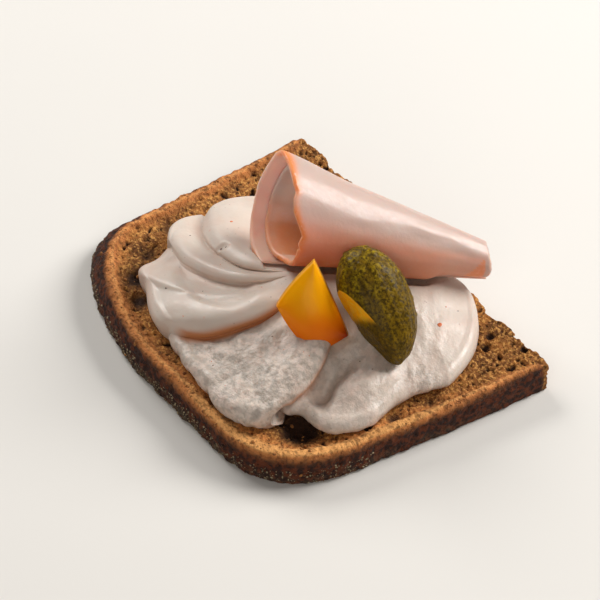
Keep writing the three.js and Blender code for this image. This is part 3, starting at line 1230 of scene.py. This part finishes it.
        # Painted light around the tip, so that the painted triangle of shade stands out.
        near_tip = ease(from_tip, 13.0, 6.0) * (1.0 - corner)
        pale = max(pale, 0.4 * near_tip)
        browned = max(0.95 * line, 0.5 * corner, 0.55 * shaded)
        return pale, warm * (1.0 - 0.9 * tip_end) + 0.3 * shaded, browned, 0.0

    def tip_fold(self, angle: float, from_tip: float) -> float:
        """How far a place lies within the small triangle of painted shade at the tip's near side.

        Args:
            angle: The angle round the roll.
            from_tip: The distance from the edge at the tip.

        Returns:
            The distance from the triangle's sides in millimetres, below 0 outside it.
        """
        height = (math.degrees(angle) - self.fold_from) % 360.0 / self.fold_turn
        if height > 1.0:
            return -1.0
        nearest, furthest = between(*self.fold_tipward, height), between(*self.fold_mouthward, height)
        return min(from_tip - nearest, furthest - from_tip)

    def build(self) -> None:
        """Builds and dresses the ham."""
        piece = finish_piece(self.mesh(), "ham_slice", self.finish)
        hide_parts("ham_roll")


@dataclass(frozen=True)
class Petal:
    """One piped petal, up to the ledge where it overhangs the next."""

    bearing: float
    ledge: float
    rim: tuple[float, float, float]
    rough: float
    # How strongly the shade under this petal's lip is painted.
    warmth: float = 0.0
    corner: float = 0.0
    corner_at: float = 0.31
    corner_width: float = 0.11

    def reach(self, across: float) -> float:
        """How far its rim reaches from the rosette's middle.

        Args:
            across: The share of the way across it.

        Returns:
            The reach in millimetres.
        """
        first, middle, end = self.rim
        return (
            first * (1.0 - across) * (1.0 - 2.0 * across)
            + middle * 4.0 * across * (1.0 - across)
            + end * across * (2.0 * across - 1.0)
            + self.corner * hump(across - self.corner_at, self.corner_width)
        )


@dataclass(frozen=True)
class Stroke:
    """The rosette at one column: whose petal it is in, where its rim is, and how its skin lies."""

    owner: float
    bearing: float
    reach: float
    relief: float
    lean: float
    rough: float
    # The share of painted shade from the lip above.
    under: float


@dataclass(frozen=True)
class Dip:
    """An oval of the cream that is pressed in or, with a depth below 0, swells out."""

    at: Vector
    half: tuple[float, float]
    heading: float
    depth: float
    slope: float
    owner: float | None = None

    def depth_at(self, place: Vector, owner: float) -> float:
        """How deep it is at a place.

        Args:
            place: The place in millimetres.
            owner: The bearing of the petal that the place lies in.

        Returns:
            The depth in millimetres.
        """
        if self.owner not in (None, owner):
            return 0.0
        heading = math.radians(self.heading)
        x, y = place.x - self.at.x, place.y - self.at.y
        along = (x * math.cos(heading) + y * math.sin(heading)) / self.half[0]
        across = (y * math.cos(heading) - x * math.sin(heading)) / self.half[1]
        return self.depth * ease(math.hypot(along, across), 1.0, 1.0 - self.slope)


@dataclass
class CreamRosette:
    """The piped rosette: petals that sweep out from the crown, each overlapping the next."""

    ham: HamRoll
    middle: Vector = Vector((0.5, -0.5, 0.0))
    base: float = 6.7
    sink: float = 0.6
    edge: float = 3.6
    rounding: float = 2.1
    crown: float = 10.4
    twist: float = math.radians(56)
    crest: float = 0.86
    overhang: float = 1.5
    undercut: float = 0.6
    undercut_steps: int = 16
    run_steps: int = 46
    lip_steps: int = 20
    top_rows: int = 90
    edge_rows: int = 13
    underside: tuple[float, ...] = (0.0, 0.5, 0.8, 0.93)
    lip_draws_in: float = 0.4
    petals: tuple[Petal, ...] = (
        Petal(180, 1.6, (26.5, 28.0, 27.6), 0.0, 0.15),
        Petal(202, 1.1, (28.0, 29.6, 26.8), 0.0, 0.15),
        Petal(250, 3.1, (27.0, 26.9, 24.8), 0.0, 1.0, corner=2.3),
        Petal(284, 0.0, (23.9, 24.5, 26.0), 0.85),
        Petal(312, 2.9, (26.0, 29.0, 29.0), 1.0, 0.75),
        Petal(352, 0.0, (23.4, 30.0, 29.0), 0.5, corner=-2.4, corner_at=0.26, corner_width=0.14),
        Petal(378, 0.0, (29.0, 28.2, 31.4), 0.3),
        Petal(422, 2.3, (31.4, 31.9, 30.0), 0.06, 0.3),
        Petal(460, 2.2, (27.4, 28.6, 27.0), 0.1, 0.4),
        Petal(500, 2.2, (26.0, 27.8, 26.4), 0.05, 0.3),
    )
    dips: tuple[Dip, ...] = (
        Dip(Vector((-8.5, -12.4)), (10.5, 5.6), 0.0, 0.6, 0.35, 250),
        Dip(Vector((19.3, -8.5)), (10.0, 3.2), 90.0, 1.9, 1.0, 352),
        Dip(Vector((21.4, -12.8)), (7.5, 3.2), -59.0, 2.0, 0.8, 352),
        Dip(Vector((25.4, -3.0)), (9.0, 3.2), 85.0, -0.8, 1.0),
        Dip(Vector((-14.0, -6.7)), (1.5, 0.9), 60.0, 0.6, 0.8),
        Dip(Vector((28.6, 5.4)), (3.4, 1.6), 80.0, 1.0, 0.8),
    )
    torn_at: Vector = Vector((28.4, 5.4, 0.0))
    torn_width: float = 3.6
    finish: CreamFinish = CreamFinish()

    def leaning(self, petal: Petal) -> float:
        """How far a petal's lip stands out over the next petal, in millimetres."""
        return self.overhang * min(petal.ledge / 2.5, 1.0)

    def strokes(self) -> list[Stroke]:
        """Walks once round the rosette, over each petal and down under its lip.

        Returns:
            The rosette's strokes, one for each column.
        """
        strokes = []
        for index, petal in enumerate(self.petals):
            last = self.petals[index - 1]
            following = self.petals[(index + 1) % len(self.petals)]
            start = last.bearing - (360.0 if index == 0 else 0.0)
            for step in range(self.run_steps):
                across = self.crest * step / self.run_steps
                section = (1.0 - math.cos(math.pi * step / self.run_steps)) / 2.0
                relief = between(-last.ledge / 2.0, petal.ledge / 2.0, section)
                bearing = math.radians(between(start, petal.bearing, across))
                rough = between(last.rough, petal.rough, ease(across, 0.0, 0.25))
                # Painted shade on the floor of this petal just under the last petal's lip.
                under = last.warmth * ease(across, 0.2, 0.03)
                lean = self.undercut * self.leaning(last) * ease(step, self.undercut_steps, 0.0)
                strokes.append(
                    Stroke(petal.bearing, bearing, petal.reach(across), relief, lean, rough, under)
                )
            drawn_in = self.lip_draws_in * petal.ledge
            end_reach = petal.reach(1.0) - drawn_in
            for step in range(self.lip_steps):
                turn = math.pi * step / self.lip_steps
                over = math.sin(turn) if turn < math.pi / 2.0 else 1.0
                nose = between(over, self.undercut, ease(turn, math.pi / 2.0, math.pi))
                across = between(self.crest, 1.0, over)
                under = ease(turn, math.pi / 2.0, math.pi)
                reach = petal.reach(across) - drawn_in * ease(over, 0.0, 1.0)
                if under > 0.0:
                    reach = between(end_reach, following.rim[0], under)
                # Painted shade on the lip's underside.
                strokes.append(
                    Stroke(
                        owner=petal.bearing,
                        bearing=math.radians(between(start, petal.bearing, across)),
                        reach=reach,
                        relief=petal.ledge / 2.0 * math.cos(turn),
                        lean=self.leaning(petal) * nose,
                        rough=petal.rough,
                        under=petal.warmth * ease(turn, 0.8, 1.6),
                    )
                )
        return strokes

    def section(self, row: int, stroke: Stroke) -> tuple[float, float, float]:
        """One row of the rosette's section at a stroke.

        Args:
            row: The row, from the underside's middle over the rounded rim to the crown.
            stroke: The stroke.

        Returns:
            The radius, the height over the rosette's base and the way that the skin faces there.
        """
        inner = stroke.reach - self.rounding
        if row < len(self.underside):
            return self.underside[row] * inner, -self.sink, -math.pi / 2.0
        on_edge = row - len(self.underside)
        if on_edge < self.edge_rows:
            turn = math.pi * (on_edge / (self.edge_rows - 1) - 0.5)
            tall = self.edge + 0.8 * stroke.relief + self.sink
            radius = inner + self.rounding * math.cos(turn)
            return radius, tall / 2.0 * (1.0 + math.sin(turn)) - self.sink, turn
        inward = 1.0 - (on_edge - self.edge_rows + 1) / self.top_rows
        dome = self.edge + (self.crown - self.edge) * (1.0 - inward**2)
        growth = ease(inward, 0.06, 0.42) * between(1.0, 0.8, ease(inward, 0.8, 1.0))
        return inner * inward, dome + stroke.relief * growth, math.pi / 2.0

    def skin(self, place: Vector, share: float, rough: float) -> float:
        """How far the cream's wobble, bubbles and tears stand out at a place.

        Args:
            place: The place on the smooth shape.
            share: Its share of the way from the rosette's middle to the rim.
            rough: How torn the cream is there.

        Returns:
            The height in millimetres.
        """
        wobble = 0.3 * waver(place, 8.0, 1.0) + 0.12 * waver(place, 3.6, 2.0)
        along, across = 0.766 * place.x - 0.643 * place.y, 0.643 * place.x + 0.766 * place.y
        drawn = 0.4 * waver(Vector((along * 0.3, across, place.z)), 1.5, 3.0)
        torn = 0.34 * waver(place, 2.9, 6.0) + 0.2 * waver(place, 1.6, 5.0)
        bubble = hollow(place, 1.6, 0.5, (0.25, 0.6))
        froth = hollow(place + Vector((31.0, 7.0, 2.0)), 0.85, 0.6, (0.18, 0.36))
        calm = ease(share, 0.02, 0.25)
        smooth = wobble * calm - 0.05 * bubble * (1.0 - rough)
        return smooth + rough * (drawn + torn - 0.4 * bubble - 0.14 * froth)

    def settled(self, place: Vector, gap: float) -> Vector:
        """Sinks a place of the cream's skin to just under the ham, where that is in the way.

        Args:
            place: The place before it is sunk.
            gap: How far it stays clear of the ham.

        Returns:
            The place where it comes to lie.
        """
        if not self.ham.covers(place, gap):
            return place
        step, low = 0.4, place.copy()
        while low.z > self.base and self.ham.covers(low, gap):
            low.z -= step
        for _ in range(5):
            step /= 2.0
            low.z += -step if self.ham.covers(low, gap) else step
        return low

    def mesh(self) -> BMesh:
        """Builds the rosette.

        Returns:
            The mesh, in millimetres.
        """
        strokes = self.strokes()

        def corner(column: int, row: int) -> Corner:
            """Works out one corner of the rosette's skin.

            Args:
                column: The stroke that it lies in.
                row: The row of the rosette's section.

            Returns:
                Its place, and how rough it is and its share of painted shade under a lip.
            """
            stroke = strokes[column % len(strokes)]
            radius, height, facing = self.section(row, stroke)
            share = radius / stroke.reach
            lean = stroke.lean * ease(share, 0.1, 0.4) * between(0.05, 1.0, ease(share, 1.0, 0.8))
            lean = lean / stroke.reach if height > -self.sink else 0.0
            bearing = stroke.bearing + self.twist * (1.0 - share) + lean / max(share, 0.1)
            outward = Vector((math.cos(bearing), math.sin(bearing), 0.0))
            place = self.middle + outward * radius + UP * (self.base + height)
            if facing < -1.5:
                return place, (0.0, 0.0)
            rough = stroke.rough * ease(share, 0.3, 0.62)
            rough = max(rough, hump((place.xy - self.torn_at.xy).length, self.torn_width))
            stand = self.skin(place, share, rough) * ease(facing, -1.5, -0.4)
            pressed = sum(dip.depth_at(place, stroke.owner) for dip in self.dips)
            place += outward * (stand * math.cos(facing)) + UP * (stand * math.sin(facing))
            place.z -= pressed * ease(facing, 0.9, 1.5) * ease(share, 0.97, 0.85)
            # Painted shade under a lip, faded out near the middle and at the rim.
            under = stroke.under * ease(share, 0.12, 0.35) * ease(share, 1.0, 0.9)
            return self.settled(place, 0.08), (rough, under)

        rows = len(self.underside) + self.edge_rows + self.top_rows
        return woven(len(strokes), rows - 1, ("rough", "under"), corner)

    def build(self) -> BVHTree:
        """Builds and dresses the cream.

        Returns:
            The cream's surface in millimetres, for what lies on it.
        """
        mesh = self.mesh()
        surface = BVHTree.FromBMesh(mesh)
        piece = finish_piece(mesh, "cream_rosette", self.finish)
        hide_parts("cream")
        return surface


@dataclass
class PepperDiamond:
    """A diamond cut from the wall of a yellow pepper, its skin bowed outwards."""

    foot: Vector = Vector((12.7, -8.9, 12.7))
    across: Vector = Vector((0.645, 0.764, 0.0)).normalized()
    upward: Vector = Vector((-0.366, 0.329, 0.87)).normalized()
    corners: tuple[Vector, ...] = (
        Vector((0.9, -0.6)), Vector((7.6, 3.1)), Vector((0.4, 16.8)), Vector((-6.2, 8.0)),
    )
    rounded: tuple[float, ...] = (0.62, 0.2, 0.14, 0.36)
    thickness: float = 3.4
    crown: float = 1.1
    round_edge: float = 0.5
    edge_power: float = 6.0
    bevel: float = 0.45
    cuts: int = 42
    finish: PepperFinish = PepperFinish()

    def mesh(self) -> BMesh:
        """Builds the diamond.

        Returns:
            The mesh, in millimetres.
        """
        mesh = bmesh.new()
        bmesh.ops.create_cube(mesh, size=2.0)
        bmesh.ops.subdivide_edges(mesh, edges=mesh.edges[:], cuts=self.cuts, use_grid_fill=True)
        out = self.across.cross(self.upward)
        foot, right, head, left = self.corners
        at_foot, at_right, at_head, at_left = self.rounded
        centre = (foot + right + head + left) / 4.0
        layers = [mesh.verts.layers.float.new(name) for name in ("ripe", "red", "flesh")]
        for vertex in mesh.verts:
            x, y, z = vertex.co
            soft = between(
                between(at_foot, at_right, x / 2.0 + 0.5),
                between(at_left, at_head, x / 2.0 + 0.5),
                y / 2.0 + 0.5,
            )
            soft = max(soft, 0.0)
            u = x * math.sqrt(1.0 - soft * y * y / 2.0)
            v = y * math.sqrt(1.0 - soft * x * x / 2.0)
            lower = foot.lerp(right, u / 2.0 + 0.5)
            upper = left.lerp(head, u / 2.0 + 0.5)
            flat = lower.lerp(upper, v / 2.0 + 0.5)
            outward = max(abs(x), abs(y))
            turned = max((abs(z) - 0.55) / 0.45, 0.0)
            inset = self.bevel * (1.0 - math.sqrt(max(1.0 - turned**2, 0.0))) * outward**3
            if (centre - flat).length > 0.1:
                flat += (centre - flat).normalized() * inset
            bow = self.crown * math.cos(math.pi * x / 2.0) * math.cos(math.pi * y / 2.0)
            rounding = self.round_edge * outward**self.edge_power if z > 0.0 else 0.0
            place = self.foot + self.across * flat.x + self.upward * flat.y
            wave = 0.12 * waver(place, 5.0, 3.0) + 0.03 * waver(place, 1.8, 4.0)
            vertex.co = place + out * (z * self.thickness / 2.0 + bow - rounding + wave)
            height = flat.y / head.y
            low_right = hump((flat - right).length, 2.8)
            numbers = (1.0 - ease(height, 0.05, 0.8), 0.95 * low_right, 1.0 - ease(z, 0.4, 0.9))
            for layer, number in zip(layers, numbers):
                vertex[layer] = number
        bmesh.ops.recalc_face_normals(mesh, faces=mesh.faces)
        return mesh

    def build(self) -> None:
        """Builds and dresses the pepper."""
        piece = finish_piece(self.mesh(), "pepper_diamond", self.finish)
        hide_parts("pepper")


@dataclass
class Gherkin:
    """A small pickled gherkin with one side sliced off, standing on its end."""

    foot: Vector = Vector((24.5, 1.4, 12.1))
    head: Vector = Vector((8.8, 4.1, 27.5))
    skinward: Vector = Vector((0.5335, -0.4497, 0.7163))
    depth: float = 5.4
    bulge: float = 6.3
    bend: float = 0.7
    bluntness: float = 2.3
    cut_inset: float = 3.0
    cut_tilt: float = math.radians(20)
    cut_skew: float = math.radians(21)
    cap: float = 0.9
    around: int = 210
    along: int = 130
    finish: GherkinFinish = GherkinFinish()

    def mesh(self) -> BMesh:
        """Builds the gherkin whole, then slices one side off it.

        Returns:
            The mesh, in millimetres.
        """
        axis = (self.head - self.foot).normalized()
        half = (self.head - self.foot).length / 2.0
        middle = self.head.lerp(self.foot, 0.5)
        facing = (self.skinward - axis * self.skinward.dot(axis)).normalized()
        side = axis.cross(facing)
        mesh = bmesh.new()
        bmesh.ops.create_uvsphere(
            mesh, u_segments=self.around, v_segments=self.along, radius=1.0
        )
        names = ("streak", "wart", "flesh")
        streak, wart, flesh = (mesh.verts.layers.float.new(name) for name in names)
        for vertex in mesh.verts:
            x, z, y = vertex.co
            wide = max(math.hypot(x, z), 1e-6)
            blunt = math.sqrt(max(1.0 - abs(y) ** self.bluntness, 0.0)) / wide
            across = side * (x * blunt * self.bulge) + facing * (z * blunt * self.depth)
            place = middle + axis * (y * half) + across + side * (self.bend * (1.0 - y * y))
            bump = hollow(place, 1.9, 0.75, (0.45, 0.8))
            ridge = noise.noise(Vector((x * 5.0, z * 5.0, y * 1.4)))
            stand = 0.24 * bump + 0.12 * ridge + 0.08 * waver(place, 0.9, 6.0)
            vertex.co = place + (across + axis * y).normalized() * (stand - 0.1)
            # Painted light: the lighter streaks fall mostly on the side that the lamps light.
            sunny = ease(-place.x + place.z * 0.5, -14.0, 4.0)
            vertex[streak] = sunny * ease(ridge + 0.7 * waver(place, 1.5, 2.0), -0.4, 0.3)
            vertex[wart] = bump
        inward = side * math.cos(self.cut_tilt) - facing * math.sin(self.cut_tilt)
        inward = inward * math.cos(self.cut_skew) + axis * math.sin(self.cut_skew)
        on_cut = middle - inward * self.cut_inset
        whole = mesh.verts[:] + mesh.edges[:] + mesh.faces[:]
        bmesh.ops.bisect_plane(mesh, geom=whole, dist=MERGE, plane_co=on_cut, plane_no=inward)
        for vertex in mesh.verts:
            outside = -(vertex.co - on_cut).dot(inward)
            if outside > MERGE:
                footward = ease(-(vertex.co - middle).dot(axis) / half, -0.12, 0.4)
                vertex.co += inward * outside
                seeds = hollow(vertex.co, 1.5, 0.6, (0.3, 0.6)) * ease(outside, 0.3, 1.2)
                domed = self.cap * footward * ease(outside, 0.0, 3.2)
                vertex.co -= inward * (0.14 * seeds * (1.0 - footward) + domed)
                vertex[flesh] = 1.0 - ease(footward, 0.35, 0.9)
        bmesh.ops.recalc_face_normals(mesh, faces=mesh.faces)
        return mesh

    def build(self) -> None:
        """Builds and dresses the gherkin."""
        piece = finish_piece(self.mesh(), "gherkin_piece", self.finish)
        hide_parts("pickle")


class Landing(Enum):
    """Where loose bits land."""

    WALL = "wall"
    TOP = "top"


@dataclass
class Scatter:
    """Loose bits of one kind, each a small rough ball pressed on to a surface."""

    name: str
    slot: Slot
    finish: GrainFinish
    count: int
    sizes: tuple[float, float]
    landing: Landing
    flatness: float = 0.6
    bearings: tuple[float, float] = (0.0, 360.0)
    reaches: tuple[float, float] = (0.0, 40.0)
    heights: tuple[float, float] = (0.1, 2.4)
    placed: tuple[tuple[float, float, float], ...] = ()
    roundness: int = 2
    seed: int = 1
    far: float = 60.0
    high: float = 40.0

    def drop(self, draw: random.Random) -> tuple[Vector, Vector, float]:
        """Draws one bit.

        Args:
            draw: The source of the random numbers.

        Returns:
            Where it comes from, which way it falls and its radius.
        """
        bearing = math.radians(draw.uniform(*self.bearings))
        outward = Vector((math.cos(bearing), math.sin(bearing), 0.0))
        size = between(self.sizes[0], self.sizes[1], draw.random() ** 2.5)
        if self.landing is Landing.WALL:
            return outward * self.far + UP * draw.uniform(*self.heights), -outward, size
        return outward * draw.uniform(*self.reaches) + UP * self.high, -UP, size

    def build(self, surface: BVHTree) -> None:
        """Scatters the bits and dresses them.

        Args:
            surface: What they lie on, in millimetres.
        """
        draw = random.Random(self.seed)
        mesh = bmesh.new()
        drops = [(Vector((x, y, self.high)), -UP, size) for x, y, size in self.placed]
        drops += [self.drop(draw) for _ in range(self.count)]
        for origin, direction, size in drops:
            place, normal, _, _ = surface.ray_cast(origin, direction)
            turn = draw.random() * math.tau
            if place is None:
                continue
            tilt = normal.to_track_quat("Z", "Y").to_matrix().to_4x4()
            shape = Matrix.Diagonal((1.0, draw.uniform(0.6, 0.95), self.flatness, 1.0))
            matrix = Matrix.Translation(place) @ tilt @ Matrix.Rotation(turn, 4, "Z") @ shape
            made = bmesh.ops.create_icosphere(
                mesh, subdivisions=self.roundness, radius=size, matrix=matrix
            )
            for vertex in made["verts"]:
                out = vertex.co - place
                vertex.co += out * (0.5 * waver(vertex.co, size * 1.1, 2.0))
                vertex.co.z = max(vertex.co.z, 0.0)
        finish_piece(mesh, self.name, self.finish)


@dataclass(frozen=True)
class Lamp:
    """A soft round lamp: its bearing and elevation in degrees, its width in mm, its watts."""

    name: str
    bearing: float
    elevation: float
    width: float
    power: float
    colour: Colour

    def toward(self) -> Vector:
        """Works out the way from the sandwich to the lamp.

        Returns:
            The direction, of length 1.
        """
        side, rise = math.radians(self.bearing), math.radians(self.elevation)
        level = math.cos(rise)
        return Vector((math.cos(side) * level, math.sin(side) * level, math.sin(rise)))


@dataclass
class Studio:
    """The camera, the soft lights, the sky and the pale floor."""

    aim: Vector = Vector((1.23, -0.694, 9.4))
    toward_camera: Vector = Vector((0.5335, -0.4497, 0.7163))
    distance: float = 1267.75
    roll: float = math.radians(3.08)
    lens: float = 434.3
    sensor: float = 36.0
    lamp_distance: float = 700.0
    lamps: tuple[Lamp, ...] = (
        Lamp("window", 75.0, 38.0, 420.0, 5.5, tone(255, 252, 248)),
        Lamp("side_window", 180.0, 38.0, 420.0, 3.3, tone(255, 252, 248)),
        Lamp("fill", 318.0, 36.0, 500.0, 1.3, tone(255, 246, 236)),
    )
    sky: Colour = tone(232, 236, 242)
    sky_strength: float = 0.09
    floor_width: float = 3000.0
    floor: FloorFinish = FloorFinish()

    def aimed(self, toward: Vector, distance: float) -> Matrix:
        """Places a thing so that it looks at the sandwich.

        Args:
            toward: The way from the sandwich to the thing, of length 1.
            distance: How far off it stands, in millimetres.

        Returns:
            Its place and turn.
        """
        turn = (-toward).to_track_quat("-Z", "Y").to_matrix().to_4x4()
        return Matrix.Translation((self.aim + toward * distance) * MM) @ turn

    def set_camera(self) -> None:
        """Sets up the camera."""
        data = bpy.data.cameras.new("camera")
        data.lens = self.lens
        data.sensor_width = self.sensor
        data.clip_start, data.clip_end = 0.05, 10.0
        camera = bpy.data.objects.new("camera", data)
        rolled = Matrix.Rotation(self.roll, 4, "Z")
        camera.matrix_world = self.aimed(self.toward_camera.normalized(), self.distance) @ rolled
        bpy.context.scene.collection.objects.link(camera)
        bpy.context.scene.camera = camera

    def hang(self, lamp: Lamp) -> None:
        """Hangs a lamp, turned to the sandwich.

        Args:
            lamp: The lamp.
        """
        data = bpy.data.lights.new(lamp.name, "AREA")
        data.shape = "DISK"
        data.size = lamp.width * MM
        data.energy = lamp.power
        data.color = lamp.colour[:3]
        hung = bpy.data.objects.new(lamp.name, data)
        hung.matrix_world = self.aimed(lamp.toward(), self.lamp_distance)
        bpy.context.scene.collection.objects.link(hung)

    def open_sky(self) -> None:
        """Fills the world with a faint even light."""
        world = bpy.data.worlds.new("sky")
        world.use_nodes = True
        background = world.node_tree.nodes["Background"]
        background.inputs["Color"].default_value = self.sky
        background.inputs["Strength"].default_value = self.sky_strength
        bpy.context.scene.world = world

    def lay_floor(self) -> None:
        """Lays the floor under the sandwich."""
        mesh = bmesh.new()
        bmesh.ops.create_grid(mesh, x_segments=8, y_segments=8, size=self.floor_width / 2.0 * MM)
        data = bpy.data.meshes.new("floor")
        mesh.to_mesh(data)
        mesh.free()
        data.materials.append(self.floor.material())
        floor = bpy.data.objects.new("floor", data)
        bpy.context.scene.collection.objects.link(floor)

    def build(self) -> None:
        """Sets up the camera, lamps, sky and floor."""
        bpy.context.scene.view_settings.view_transform = "Standard"
        self.set_camera()
        for lamp in self.lamps:
            self.hang(lamp)
        self.open_sky()
        self.lay_floor()
        log.info("studio: camera, %d lamps, sky and floor", len(self.lamps))


CRUMB = GrainFinish("loose_crumb", tone(176, 116, 58), tone(108, 66, 30))
FLOUR = GrainFinish("loose_flour", tone(176, 160, 128), tone(106, 90, 66))
PEPPERCORN = GrainFinish("ground_peppercorn", tone(104, 84, 72), tone(146, 122, 106), 0.6)
PAPRIKA = GrainFinish("paprika_fleck", tone(196, 84, 38), tone(222, 126, 74), 0.5)


def main() -> None:
    """Builds the sandwich piece by piece."""
    logging.basicConfig(level=logging.INFO, format="%(message)s")
    Studio().build()
    slice_surface = BreadSlice().build()
    ham = HamRoll()
    cream_surface = CreamRosette(ham).build()
    ham.build()
    PepperDiamond().build()
    Gherkin().build()
    Scatter(
        "bread_crumbs", Slot.BREAD, CRUMB, 620, (0.12, 0.42), Landing.TOP, 0.8,
        reaches=(24.0, 44.0), seed=3,
    ).build(slice_surface)
    Scatter(
        "flour_specks", Slot.BREAD, FLOUR, 1100, (0.07, 0.26), Landing.WALL, 0.8,
        bearings=(150.0, 345.0), heights=(0.1, 3.4), roundness=1, seed=5,
    ).build(slice_surface)
    Scatter(
        "peppercorn_specks", Slot.CREAM, PEPPERCORN, 60, (0.06, 0.2), Landing.TOP, 0.35,
        reaches=(3.0, 28.0), placed=((-14.1, -6.8, 0.32), (-13.4, -6.3, 0.24)), seed=7,
    ).build(cream_surface)
    Scatter(
        "paprika_flecks", Slot.CREAM, PAPRIKA, 18, (0.1, 0.3), Landing.TOP, 0.35,
        reaches=(6.0, 28.0), placed=((21.2, 14.2, 0.5),), seed=9,
    ).build(cream_surface)


if __name__ == "__main__":
    main()
